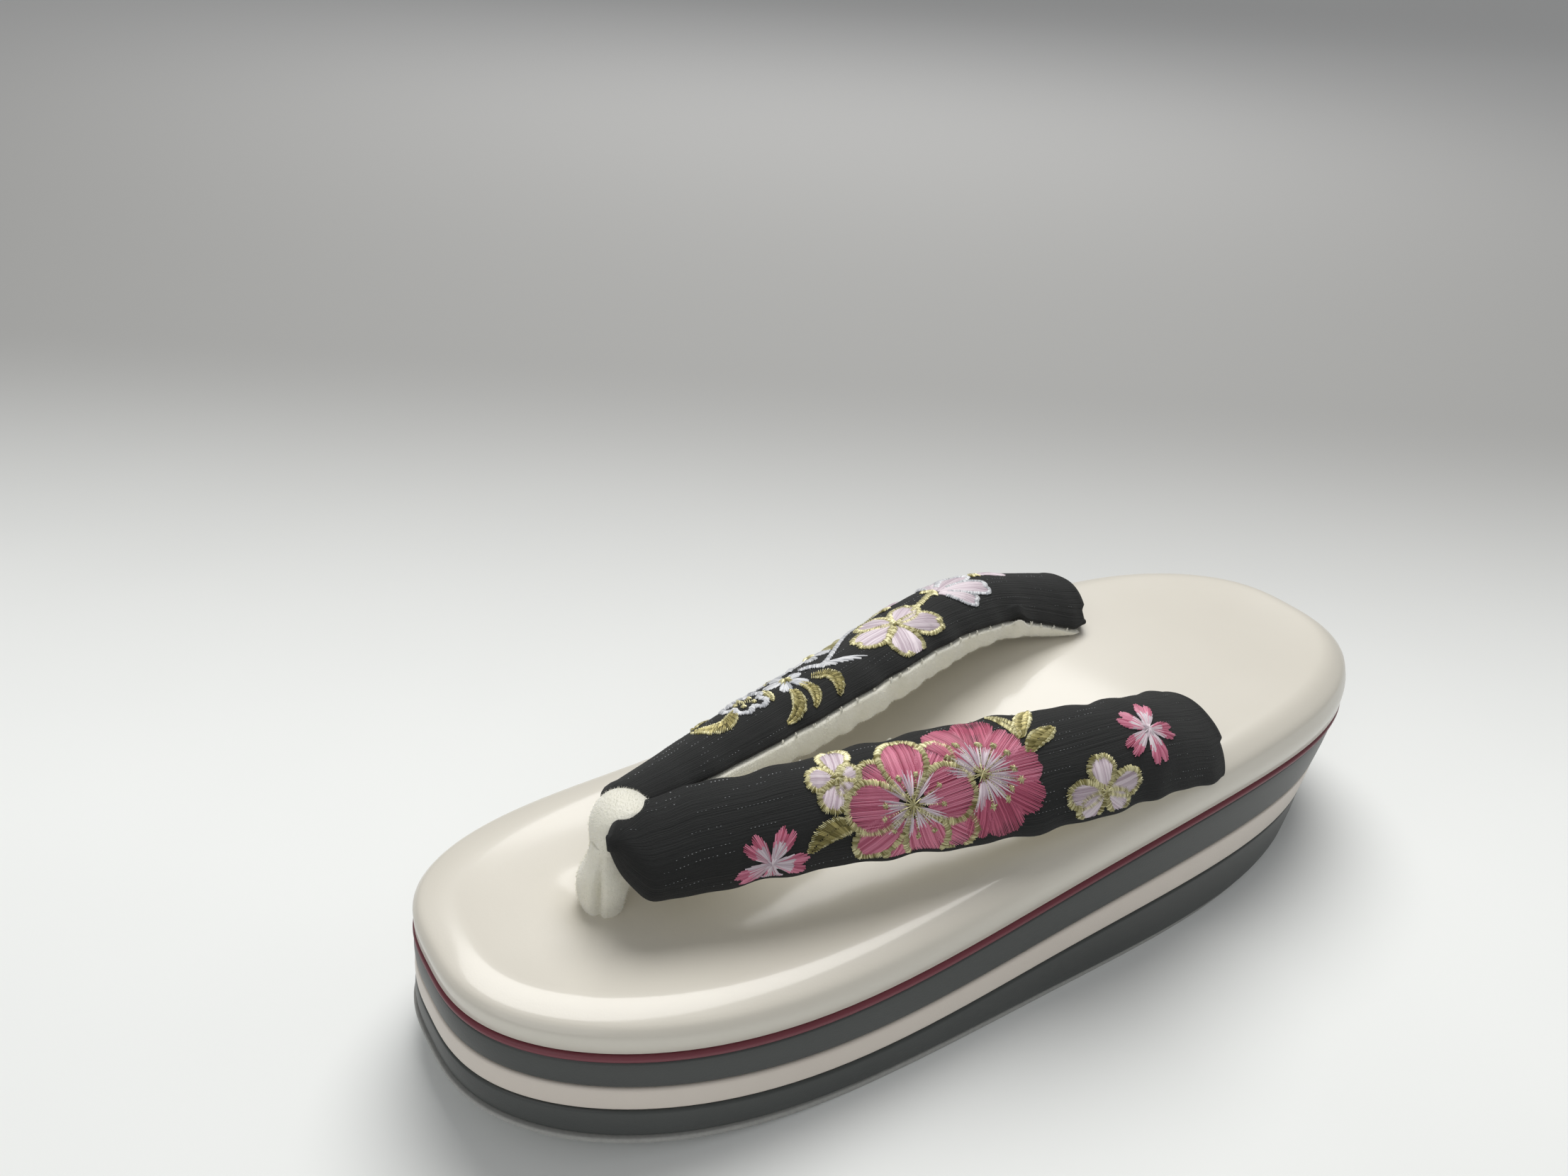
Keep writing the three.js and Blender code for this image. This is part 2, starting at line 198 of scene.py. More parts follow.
def floor_line(s):
    return TOE_SPRING * max(0.0, 1 - s / SPRING_SHARE) ** 2


def top_line(s):
    return PLATFORM * SOLE["top_line"](s)


def upper_tier_top(s):
    return top_line(s) - PIPING


def middle_tier_top(s):
    return upper_tier_top(s) - UPPER_TIER * SOLE["upper"](s)


def lower_tier_top(s):
    return middle_tier_top(s) - MIDDLE_TIER * SOLE["middle"](s)


def outsole_top(s):
    return floor_line(s) + OUTSOLE


def crest(s):
    return FOOTBED * mix(FOOTBED_SHARE, s)


def lean(s, z):
    depth = (top_line(s) - z) / (top_line(s) - floor_line(s))
    return -HEEL_TUCK * SOLE["flare"](s) * max(0.0, depth)


def outline_point(u):
    s = (1 - cos(pi * u)) / 2
    arch = max(0.0, sin(pi * u)) ** mix(END_BLUNTNESS, s)
    return HALF_WIDTH * SOLE["half_width"](u) * arch, -HALF_LENGTH * cos(pi * u)


def half_width_at(y):
    u = acos(clamp(-y / HALF_LENGTH, -1.0)) / pi
    return outline_point(u)[0]


def dished(share):
    """Fall of the footbed inside its rim: a crisp crest, then ever flatter to the middle."""
    return DISH_DEPTH * (1 - (1 - clamp(share)) ** 2)


def footbed_top(x, y):
    """Height of the padded footbed over a point in plan."""
    s = share_of(y)
    inside = max(0.0, half_width_at(y) - abs(x))
    if inside < RIM_ROUND:
        reach = 1 - inside / RIM_ROUND
        return top_line(s) + RIM_WALL + (crest(s) - RIM_WALL) * sqrt(1 - reach * reach)
    return top_line(s) + crest(s) - dished((inside - RIM_ROUND) / DISH_WIDTH)


OUTLINE_STEPS = 110
SPINE_SHORT = 0.12


def make_outline():
    """Outline of the sole in plan with its outward normals, in 2 * OUTLINE_STEPS points."""
    points = []
    for k in range(2 * OUTLINE_STEPS):
        side = 1 if k <= OUTLINE_STEPS else -1
        w = k / OUTLINE_STEPS if side > 0 else 2 - k / OUTLINE_STEPS
        x, y = outline_point(w - 0.5 * sin(2 * pi * w) / (2 * pi))
        points.append((side * x, y))
    placed = []
    for k, (x, y) in enumerate(points):
        ax, ay = points[k - 1]
        bx, by = points[(k + 1) % len(points)]
        length = hypot(bx - ax, by - ay)
        placed.append((x, y, (by - ay) / length, (ax - bx) / length))
    return placed


OUTLINE = make_outline()


def sole_ring(offset, height, share=0.0):
    """The outline moved out by offset(s), at height(s), and drawn in by a share to the middle line."""
    ring = []
    for x, y, nx, ny in OUTLINE:
        s = share_of(y)
        out = offset(s) + lean(s, height(s))
        py = (y + ny * out) * (1 - SPINE_SHORT * share)
        ring.append(((x + nx * out) * (1 - share), py, height(share_of(py))))
    return ring


# Blender helpers
WELD = 0.01
END_POINT = 0.02


def to_linear(code):
    """An sRGB hex colour as linear RGBA."""
    parts = [int(code[i : i + 2], 16) / 255 for i in (1, 3, 5)]
    low, knee, slope, shift, power = 12.92, 0.04045, 1.055, 0.055, 2.4
    return tuple([p / low if p <= knee else ((p + shift) / slope) ** power for p in parts] + [1.0])


def only(piece):
    """Leaves just this piece selected and active."""
    bpy.ops.object.select_all(action="DESELECT")
    piece.select_set(True)
    bpy.context.view_layer.objects.active = piece


def linked(name, data):
    """A new object in the scene."""
    thing = bpy.data.objects.new(name, data)
    bpy.context.scene.collection.objects.link(thing)
    return thing


def skin(name, rings):
    """A surface through closed rings of points in mm: a grid laid out ring by ring, welded where it
    meets. The grid's UV map is kept, and counts points round along U and rings along V."""
    bpy.ops.object.select_all(action="DESELECT")
    bpy.ops.mesh.primitive_grid_add(x_subdivisions=len(rings[0]), y_subdivisions=len(rings) - 1, size=1)
    piece = bpy.context.object
    piece.name = name
    piece.data.name = name
    flat = [point for ring in rings for point in (*ring, ring[0])]
    piece.data.vertices.foreach_set("co", (np.array(flat, float) * MM).ravel())
    only(piece)
    bpy.ops.object.mode_set(mode="EDIT")
    bpy.ops.mesh.select_all(action="SELECT")
    bpy.ops.mesh.remove_doubles(threshold=WELD * MM)
    bpy.ops.mesh.normals_make_consistent(inside=False)
    bpy.ops.object.mode_set(mode="OBJECT")
    return piece


def capped(rings):
    """A tube's rings with both ends drawn in almost to a point."""
    ends = []
    for ring in (np.array(rings[0]), np.array(rings[-1])):
        middle = sum(ring) / len(ring)
        ends.append([middle + (p - middle) * END_POINT for p in ring])
    return [ends[0], *rings, ends[1]]


def tube(name, table, steps, around, section):
    """A tube along a table: section(t, row, angle) gives each point of its rings."""
    rings = []
    for k in range(steps + 1):
        row = row_at(table, k / steps)
        rings.append([section(k / steps, row, 2 * pi * j / around) for j in range(around)])
    return skin(name, capped(rings))


def finish_piece(piece, material, slot, *nodes, angle=None):
    """Smooth shading, material and body of a finished piece; slot is not used."""
    only(piece)
    if angle is None:
        bpy.ops.object.shade_smooth()
    else:
        bpy.ops.object.shade_smooth_by_angle(angle=radians(angle))
    piece.data.materials.clear()
    piece.data.materials.append(material)
    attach(piece, "root")
    if nodes:
        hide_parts(*nodes)
    return piece


# Sole pieces
def rounded(edge, degrees):
    """How far in and how far down an edge of radius edge lies at an angle from its flat face."""
    turn = radians(degrees)
    return edge * (1 - sin(turn)), edge * (1 - cos(turn))


def layer(name, bottom, top, reach, edge, belly=0.0):
    """A layer of the sole between two heights: rounded edges of radius edge, a slight belly between."""
    rings = [sole_ring(lambda s: -edge, bottom, share) for share in (1.0, 0.66, 0.33)]
    for degrees in (0, 30, 60, 90):
        inset, lift = rounded(edge, degrees)
        rings.append(sole_ring(lambda s: reach(s) - inset, lambda s: bottom(s) + lift))
    for share in (0.25, 0.5, 0.75):
        out = belly * sin(pi * share)
        rings.append(sole_ring(
            lambda s: reach(s) + out,
            lambda s: bottom(s) + edge + (top(s) - GAP - bottom(s) - 2 * edge) * share,
        ))
    for degrees in (90, 60, 30, 0):
        inset, drop = rounded(edge, degrees)
        rings.append(sole_ring(lambda s: reach(s) - inset, lambda s: top(s) - (drop + GAP)))
    rings.append(sole_ring(lambda s: -edge, lambda s: top(s) - GAP, 1.0))
    return skin(name, rings)


POST_Y = POST_ALONG * SOLE_LENGTH - HALF_LENGTH
POST_FOOT = footbed_top(0, POST_Y)
DISH_SHARES = (0.1, 0.2, 0.35, 0.5, 0.75, 1.0)
SPINE_SHARES = (0.15, 0.3, 0.45, 0.6, 0.75, 0.9, 1.0)


def dimple(x, y):
    """How far the padding is pulled down round the toe post."""
    away = max(0.0, hypot(x, y - POST_Y) - POST_DIMPLE["radius"])
    return POST_DIMPLE["depth"] * bell(away, POST_DIMPLE["spread"])


def make_footbed():
    rings = [
        sole_ring(lambda s: -RIM_TUCK, top_line, 1.0),
        sole_ring(lambda s: -RIM_TUCK, top_line),
        sole_ring(lambda s: 0.0, lambda s: top_line(s) + RIM_TUCK),
    ]
    for degrees in range(0, 91, 6):
        turn = radians(degrees)
        inset = RIM_ROUND * (1 - cos(turn)) - RIM_RIDGE * bell(degrees - RIDGE_TURN, RIDGE_WIDE)
        rings.append(sole_ring(
            lambda s: -inset,
            lambda s: top_line(s) + RIM_WALL + (crest(s) - RIM_WALL) * sin(turn),
        ))
    for share in DISH_SHARES:
        rings.append(sole_ring(
            lambda s: -RIM_ROUND - DISH_WIDTH * share,
            lambda s: top_line(s) + crest(s) - dished(share),
        ))
    for share in SPINE_SHARES:
        rings.append(sole_ring(
            lambda s: -(RIM_ROUND + DISH_WIDTH),
            lambda s: top_line(s) + crest(s) - DISH_DEPTH,
            share,
        ))
    for ring in rings[-len(DISH_SHARES + SPINE_SHARES):]:
        ring[:] = [(x, y, z - dimple(x, y)) for x, y, z in ring]
    return skin("padded_footbed", rings)


# The strap's arms, on the +X side; the right arm is mirrored after it is made. Edges and crown from
# the front joint to the rear end, as shares of sole and strap
ARM = columns("inner_at outer_at inner outer inner_up outer_up crown", [
    (0.182, 0.161, -0.045, 0.34, 1.00, 0.42, 0.63),
    (0.320, 0.299, 0.093, 0.54, 1.00, 0.49, 0.89),
    (0.459, 0.437, 0.258, 0.79, 0.90, 0.36, 0.88),
    (0.590, 0.570, 0.427, 1.00, 0.64, 0.27, 0.92),
    (0.712, 0.693, 0.415, 0.97, 0.18, 0.01, 0.95),
])


def arm_lines(hand):
    """Splines along an arm: inner edge x, y, z, outer edge x, y, z, and crown."""
    frames = [list(row) for row in hand["nose"]]
    for k in range(1 if frames else 0, ARM_STEPS + 1):
        t = k / ARM_STEPS
        row = row_at(ARM, t)
        shift = hand["rear"] * t * t
        line = []
        for edge, move in (("inner", shift), ("outer", shift + hand["front_cut"] * (1 - t) ** 6)):
            y = row[f"{edge}_at"] * SOLE_LENGTH - HALF_LENGTH
            line += [row[edge] * HALF_WIDTH, y + move, footbed_top(0, y) + row[f"{edge}_up"] * STRAP_RISE]
        line.append(row["crown"] * STRAP_CROWN + hand["rear_crown"] * t * t)
        flare = smooth((t - FLARE_FROM) / (1 - FLARE_FROM))
        frames.append([at + out * flare for at, out in zip(line, hand["moves"])])
    return [even_spline(list(values)) for values in zip(*frames)]


ARM_LINES = {side: arm_lines(hand) for side, hand in HAND.items()}


def arm_at(side, share):
    f = [at(share) for at in ARM_LINES[side]]
    return np.array(f[0:3]), np.array(f[3:6]), f[6]


def arm_up(side, share):
    """Direction that stands up from the chord between the arm's edges."""
    step = 0.03
    a0, b0, _ = arm_at(side, max(0.0, share - step))
    a1, b1, _ = arm_at(side, min(1.0, share + step))
    a, b, _ = arm_at(side, share)
    up = np.cross(b - a, a1 + b1 - a0 - b0)
    return up / norm(up)


def arm_ring(side, share, section, limit):
    """The section of an arm at a share of its length. section lists (place across from -1 to 1,
    height over the chord, least height over the footbed)."""
    inner, outer, crown = arm_at(side, share)
    up = arm_up(side, share)
    chord = outer - inner
    inner = inner + chord * (max(0.0, limit - inner[0]) / chord[0])
    chord = outer - inner
    wave = 1 + EDGE_WAVE * (sin(61 * share) + 0.7 * sin(97 * share + 2))
    pinch = HAND[side]["pinch"] * bell(share - PINCH["at"], PINCH["wide"])
    ring = []
    for place, height, clear in section(crown):
        p = inner + chord * (place * wave + 1) / 2 + up * height
        p[0] = max(p[0], limit)
        if place < PINCH["edge"]:
            p = p + up * pinch
        p[2] = max(p[2], footbed_top(p[0], p[1]) + clear)
        ring.append(p)
    return ring


# Places round a section: the crepe's top, and its rolled edge as (place, share of the edge's height)
COVER_PLACES = [sin(pi / 2 * k / 20) for k in range(-20, 21)]
ROLL = [(1.018, 0.62), (1.012, 0.28), (0.985, 0.05)]


def cover_height(v, crown):
    """Padded top of the crepe over its chord: full in the middle, rolled over at the edges."""
    return GAP / 2 + STRAP_EDGE + (crown - STRAP_EDGE) * max(0.0, 1 - abs(v) ** CROWN_FULLNESS) ** 0.86


def cover_top(crown, places):
    return [(v, cover_height(v, crown), REST_OVER + STRAP_EDGE) for v in places]


def cover_section(crown):
    lip = GAP / 2 + STRAP_EDGE
    rolled = [(v, GAP / 2 + STRAP_EDGE * h, REST_OVER + lip * h) for v, h in ROLL]
    section = cover_top(crown, COVER_PLACES) + rolled
    section += [(v, GAP / 2, REST_OVER) for v in (0.9, 0.6, 0.2, -0.2, -0.6, -0.9)]
    section += [(-v, height, clear) for v, height, clear in reversed(rolled)]
    return section


def lining_section(crown, fuller, inner_share):
    """Soft underside of an arm: it bulges most under the inner edge, where it shows."""
    belly = LINING_BELLY * min(1.0, crown / STRAP_CROWN + 0.2)
    section = []
    for k in range(14, -15, -1):
        v = sin(pi / 2 * k / 14)
        hollow = 1 - 0.35 * (1 - v * v)
        inward = smooth((0.2 - v) / 1.2)
        under = -GAP / 2 - LINING_EDGE - (belly + fuller * inward) * (1 - abs(v) ** 4) ** 0.7 * hollow
        section.append((v * (inner_share if v < 0 else OUTER_LINING_SHARE), under, LINING_OVER))
    section += [(v, -GAP / 2 + LINING_LIP, REST_OVER - 2 * GAP) for v in (-0.9, -0.4, 0.4, 0.85)]
    return section


def close_ends(rings, front, rear, taper):
    """Rounds off the blunt rear end down to the footbed, and the front end."""
    last = rings[-1]
    centre = sum(last) / len(last)
    for degrees in (15, 30, 45, 60, 75, 88):
        turn = radians(degrees)
        shrink = 1 - (1 - cos(turn)) * taper
        ring = []
        for p in last:
            q = centre + (p - centre) * shrink
            q[1] += rear * sin(turn)
            low = footbed_top(q[0], q[1]) + SETTLE
            if p[2] < centre[2]:
                q[0] = centre[0] + (q[0] - centre[0]) * (1 - END_CORNER * sin(turn))
                q[2] += (max(low, 0) - q[2]) * sin(turn)
            q[2] = max(q[2], low)
            ring.append(q)
        rings.append(ring)
    tip = sum(rings[-1]) / len(last)
    for share in (0.5, 0.02):
        rings.append([tip + (p - tip) * share for p in rings[-1]])
    first = rings[0]
    start = sum(first) / len(first)
    for degrees in (20, 40, 60, 75, 89):
        turn = radians(degrees)
        ahead = np.array([0, front * sin(turn), 0])
        rings.insert(0, [start + (p - start) * cos(turn) ** 0.7 - ahead for p in first])
    return rings


def to_side(side, rings):
    return [[(p[0] * HAND[side]["flip"], p[1], p[2]) for p in ring] for ring in rings]


def measure(piece, rings):
    """Turns the grid's UV map into metres: U along the arm, V across it."""
    lengths = [0.0]
    for a, b in zip(rings, rings[1:]):
        lengths.append(lengths[-1] + float(norm(sum(a) / len(a) - sum(b) / len(b))))
    total = len(rings) - 1
    for loop in piece.data.uv_layers.active.data:
        k = clamp(loop.uv.y) * total
        i = min(int(k), total - 1)
        along = lengths[i] + (lengths[i + 1] - lengths[i]) * (k - i)
        loop.uv = (along * MM, loop.uv.x * AROUND_MM * MM)


def make_arm(side):
    hand = HAND[side]
    rings = [arm_ring(side, share, cover_section, -CREASE) for share in np.linspace(0, 1, ARM_RINGS)]
    rings = close_ends(rings, hand["front_end"], hand["end_round"], hand["end_taper"])
    piece = skin(f"crepe_arm_{side}", to_side(side, rings))
    measure(piece, rings)
    return piece


def make_lining(side):
    hand = HAND[side]
    rings = []
    for share in np.linspace(hand["lining_from"], LINING_TO, ARM_RINGS):
        fuller = hand["lining_sag"] * sin(pi * min(1.0, share * 1.05)) ** 0.8
        fuller *= 1 + 0.06 * sin(150 * share) + 0.05 * sin(83 * share + 1)
        rings.append(arm_ring(
            side, share, lambda crown: lining_section(crown, fuller, hand["lining_share"]), GAP / 2,
        ))
    return skin(f"velvet_lining_{side}", to_side(side, capped(rings)))


# The post's foot, from below the footbed's top up
FOOT = columns("up reach crease lean", [
    (-4.0, 3.9, 0.16, 0.0),
    (-0.6, 4.4, 0.26, 0.0),
    (2.6, 5.1, 0.42, 0.0),
    (5.6, 5.3, 0.46, 0.1),
    (8.4, 4.6, 0.36, 0.2),
    (10.8, 3.5, 0.2, 0.4),
    (12.8, 3.0, 0.08, 0.5),
    (14.6, 2.6, 0.0, 0.6),
])


def foot_point(t, row, angle):
    """Foot of the toe post: two soft lobes with a crease down the side, pinched at the neck."""
    away = abs(remainder(angle - FOOT_CREASE, pi))
    crease = 1 - row["crease"] * bell(away, CREASE_WIDE) + 0.05 * cos(2 * away)
    lump = 1 + 0.015 * sin(3 * angle + 9 * t) + 0.012 * sin(15 * t + 2 * angle)
    reach = row["reach"] * crease * lump
    return reach * cos(angle), FOOT_Y + row["lean"] + reach * sin(angle), POST_FOOT + row["up"]


# The loop's middle line from the neck to where the arms part, and its size
LOOP = columns("x y z wide thick", [
    (0.0, -84.6, 36.5, 5.6, 5.0),
    (-0.1, -84.6, 40.5, 5.6, 4.6),
    (-0.2, -84.6, 44.5, 7.6, 4.6),
    (-0.2, -84.0, 48.4, 9.0, 4.6),
    (-0.2, -81.2, 50.6, 9.4, 4.2),
    (0.0, -77.6, 50.0, 7.6, 3.4),
    (0.0, -74.2, 47.4, 4.0, 2.4),
])


def loop_point(t, row, angle):
    """The post's loop: a soft band from the neck up over the front ends of the two arms."""
    ahead = {name: at(min(1.0, t + 0.01)) - at(max(0.0, t - 0.01)) for name, at in LOOP.items()}
    run = hypot(ahead["y"], ahead["z"])
    soft = 1 + 0.02 * sin(11 * t + 2 * angle)
    c, s = (copysign(abs(part) ** 0.75, part) for part in (cos(angle), sin(angle)))
    lift = row["thick"] / 2 * s * soft
    x = row["x"] + row["wide"] / 2 * c * soft
    return x, row["y"] - ahead["z"] / run * lift, row["z"] + ahead["y"] / run * lift


# Materials
def add(tree, kind, settings=None, **links):
    """Adds a shader node with its settings and links; a link's name is the input's, with _ for a
    space, or i and the input's number."""
    node = tree.nodes.new("ShaderNode" + kind)
    for key, value in (settings or {}).items():
        setattr(node, key, value)
    for key, value in links.items():
        number = key[1:]
        socket = node.inputs[int(number) if number.isdigit() else key.replace("_", " ")]
        if isinstance(value, bpy.types.NodeSocket):
            tree.links.new(value, socket)
        else:
            socket.default_value = value
    return node


def new_material(name, roughness, **sockets):
    """A material with one Principled shader; sockets are its constants."""
    material = bpy.data.materials.new(name)
    material.use_nodes = True
    shader = material.node_tree.nodes["Principled BSDF"]
    shader.inputs["Roughness"].default_value = roughness
    for key, value in sockets.items():
        shader.inputs[key.replace("_", " ")].default_value = value
    return material, material.node_tree, shader


def object_place(tree):
    return add(tree, "TexCoord").outputs["Object"]


def noise(tree, place, cells, detail, roughness=0.5):
    """Factor of a noise with this many cells a millimetre, on coordinates in metres."""
    return add(tree, "TexNoise", None, Vector=place, Scale=cells / MM, Detail=detail,
               Roughness=roughness).outputs["Fac"]


def weighted(tree, factor, weight, rest):
    """factor * weight + rest."""
    node = add(tree, "Math", {"operation": "MULTIPLY_ADD"}, i0=factor, i1=weight, i2=rest)
    return node.outputs[0]


def mixed(tree, factor, dark, light):
    """A colour between two others, each a hex code or a node's output."""
    a, b = (to_linear(colour) if isinstance(colour, str) else colour for colour in (dark, light))
    return add(tree, "Mix", {"data_type": "RGBA"}, i0=factor, i6=a, i7=b).outputs[2]


def two_tone(tree, shader, factor, dark, light):
    """Base colour that wanders between two hex colours."""
    tree.links.new(mixed(tree, factor, dark, light), shader.inputs["Base Color"])


def relief(tree, shader, height, depth_mm, strength):
    """Bump of a real depth in mm."""
    bump = add(tree, "Bump", None, Height=height, Distance=depth_mm * MM, Strength=strength)
    tree.links.new(bump.outputs["Normal"], shader.inputs["Normal"])


def leatherette(name, dark, light, roughness, grain_mm, grain_depth, **sockets):
    """Polyurethane leatherette, calendered: a fine closed grain, a soft cloudy tone, satin gloss."""
    material, tree, shader = new_material(name, roughness, **sockets)
    place = object_place(tree)
    two_tone(tree, shader, noise(tree, place, 0.03, 3.0), dark, light)
    grain = add(tree, "TexVoronoi", {"feature": "DISTANCE_TO_EDGE"}, Vector=place,
                Scale=1 / grain_mm / MM).outputs["Distance"]
    total = weighted(tree, grain, 1.0, noise(tree, place, 2.5 / grain_mm, 2.0))
    relief(tree, shader, total, grain_depth, 0.5)
    return material


def black_crepe():
    """Polyester crepe with a lengthwise rib: matt black, ribs under a millimetre apart, a dry sheen."""
    material, tree, shader = new_material("woven_black_crepe", 0.88, Sheen_Weight=0.05, Sheen_Roughness=0.5)
    uv = add(tree, "UVMap").outputs["UV"]
    stretch = add(tree, "Mapping", None, Vector=uv, Scale=(0.035, 1.0, 1.0)).outputs[0]
    ribs = noise(tree, stretch, 1.5, 4.0, 0.62)
    two_tone(tree, shader, ribs, "#0B0C0C", "#1D1F1F")
    slubs = weighted(tree, noise(tree, stretch, 0.35, 2.0), 0.8, ribs)
    relief(tree, shader, weighted(tree, noise(tree, uv, 2.2, 2.0), 0.25, slubs), 0.55, 0.8)
    return material


def velvet(name, dark, light):
    """Short-pile velveteen: no gloss, a soft bright edge, the nap lying in small patches."""
    material, tree, shader = new_material(name, 1.0, Sheen_Weight=0.9, Sheen_Roughness=0.5)
    place = object_place(tree)
    patch = noise(tree, place, 0.22, 3.0)
    two_tone(tree, shader, patch, dark, light)
    relief(tree, shader, weighted(tree, patch, 1.5, noise(tree, place, 1.6, 3.0, 0.7)), 0.4, 0.7)
    return material


def moulded_rubber():
    """Grey rubber sheet, moulded and cut: matt, a light speckle."""
    material, tree, shader = new_material("moulded_grey_rubber", 0.82)
    speckle = noise(tree, object_place(tree), 1.2, 4.0)
    two_tone(tree, shader, speckle, "#949492", "#B0B0AC")
    relief(tree, shader, speckle, 0.12, 0.5)
    return material


def silk_thread(name, dark, light, metallic, roughness):
    """Rayon or metal-wrapped embroidery thread, each stitch a little different in tone."""
    material, tree, shader = new_material(name, roughness, Metallic=metallic, Sheen_Weight=0.15)
    split = add(tree, "SeparateXYZ", None, Vector=add(tree, "UVMap").outputs["UV"])
    two_tone(tree, shader, split.outputs["X"], dark, light)
    return material


IVORY = leatherette("calendered_ivory_leatherette", "#D3CEC2", "#DDD8CD", 0.45, 0.9, 0.022,
                    Coat_Weight=0.55, Coat_Roughness=0.12)
CHARCOAL = leatherette("calendered_charcoal_leatherette", "#353837", "#414443", 0.42, 0.8, 0.05,
                       Coat_Weight=0.12, Coat_Roughness=0.28)
BEIGE = leatherette("calendered_pearl_beige_leatherette", "#D3C9BF", "#DFD6CC", 0.4, 0.8, 0.04,
                    Coat_Weight=0.15, Coat_Roughness=0.3)
BURGUNDY = leatherette("calendered_burgundy_piping", "#662B35", "#7E3B46", 0.4, 0.6, 0.04)
CREPE = black_crepe()
CREAM = velvet("napped_cream_velveteen", "#F3F0DE", "#FCFAF0")
RUBBER = moulded_rubber()


def flush(s):
    return 0.0


# The sole, from the floor up: height lines, reach past the outline, edge radius, belly, finish and node
for name, bottom, top, reach, edge, belly, material, slot, node, angle in (
    ("rubber_outsole", floor_line, outsole_top, lambda s: mix(OUTSOLE_REACH, s), 0.35, 0.0,
     RUBBER, "rubber_grey", "outsole", 50),
    ("wrapped_lower_tier", outsole_top, lower_tier_top, flush, 0.7, 0.15,
     CHARCOAL, "charcoal_leatherette", "tier_lower", 50),
    ("wrapped_middle_tier", lower_tier_top, middle_tier_top, flush, 0.6, 0.1,
     BEIGE, "beige_leatherette", "tier_middle", 50),
    ("wrapped_upper_tier", middle_tier_top, upper_tier_top, flush, 0.7, 0.15,
     CHARCOAL, "charcoal_leatherette", "tier_upper", 50),
    ("folded_piping", lambda s: upper_tier_top(s) - PIPING_SINK, top_line, lambda s: PIPING_PROUD, 0.7, 0.0,
     BURGUNDY, "burgundy_piping", "piping", 60),
):
    finish_piece(layer(name, bottom, top, reach, edge, belly), material, slot, node, angle=angle)
footbed = finish_piece(make_footbed(), IVORY, "ivory_leatherette", "footbed")

# The strap and its post
linings = {}
for side in HAND:
    arm = finish_piece(make_arm(side), CREPE, "black_crepe", "strap_cover")
    linings[side] = finish_piece(make_lining(side), CREAM, "cream_velvet", f"strap_lining_{side}")
foot = tube("velvet_post_foot", FOOT, 48, 64, foot_point)
post_foot = finish_piece(foot, CREAM, "cream_velvet", "toe_post")
post_loop = finish_piece(tube("velvet_post_loop", LOOP, 60, 36, loop_point), CREAM, "cream_velvet")


# Embroidery. Its charts are in mm on the strap's cloth: a along the arm from its front end,
# c across it from the middle, towards the outer edge. All is drawn with single raised stitches.
CHART_ALONG = 220
CHART_ACROSS = 60
EDGE_MARGIN = 0.5
PITCH = 0.29
RIM_PITCH = 0.26
LEAF_PITCH = 0.32
LEAF_SLANT = 0.6
SHORTEST_STITCH = 0.12
PETAL_LIFT = 0.35
NOTCH_WIDE = 0.17
EGG_NOTCH_WIDE = 0.2
EGG_FULL = 0.6
EGG_WIDEST = 1.35
SEAM_OUT = 0.1
TUFT_OUT = 0.25
TUFT_PITCH = 4.4
FORK_AT = 31.0
DOT_PITCH = 0.8
DOT_LENGTH = 0.22
HAIR_WIDTH = 0.08
NOTHING = 1e-6


def lengths_along(points):
    """Length in mm from the first of a row of points to each of them."""
    return np.concatenate([[0], np.cumsum(norm(np.diff(points, axis=0), axis=1))])


class Cloth:
    """The crepe's upper face of one arm, read at a place in mm along and across."""

    def __init__(self, side):
        self.flip = np.array([HAND[side]["flip"], 1.0, 1.0])
        places = np.linspace(-1, 1, CHART_ACROSS + 1)
        shares = np.linspace(0, 1, CHART_ALONG)
        self.points = np.array([arm_ring(side, share, lambda crown: cover_top(crown, places), -CREASE)
                                for share in shares])
        self.along = lengths_along(self.points[:, CHART_ACROSS // 2])
        widths = norm(np.diff(self.points, axis=1), axis=2)
        across = np.concatenate([np.zeros((CHART_ALONG, 1)), np.cumsum(widths, axis=1)], axis=1)
        self.across = across - across[:, CHART_ACROSS // 2][:, None]
        normal = np.cross(np.gradient(self.points, axis=1), np.gradient(self.points, axis=0))
        self.normals = normal / norm(normal, axis=2, keepdims=True)

    def at(self, a, c):
        """Point and outward normal in mm at a place on the cloth, and whether it is inside the edges."""
        i = float(np.interp(a, self.along, np.arange(CHART_ALONG)))
        row = min(int(i), CHART_ALONG - 2)
        t = i - row
        across = self.across[row] * (1 - t) + self.across[row + 1] * t
        inside = across[0] + EDGE_MARGIN < c < across[-1] - EDGE_MARGIN
        c = clamp(c, across[0] + EDGE_MARGIN, across[-1] - EDGE_MARGIN)
        j = float(np.interp(c, across, np.arange(CHART_ACROSS + 1)))
        column = min(int(j), CHART_ACROSS - 1)
        s = j - column

        def blend(grid):
            near = grid[row, column] * (1 - s) + grid[row, column + 1] * s
            far = grid[row + 1, column] * (1 - s) + grid[row + 1, column + 1] * s
            return near * (1 - t) + far * t

        return blend(self.points), blend(self.normals), inside


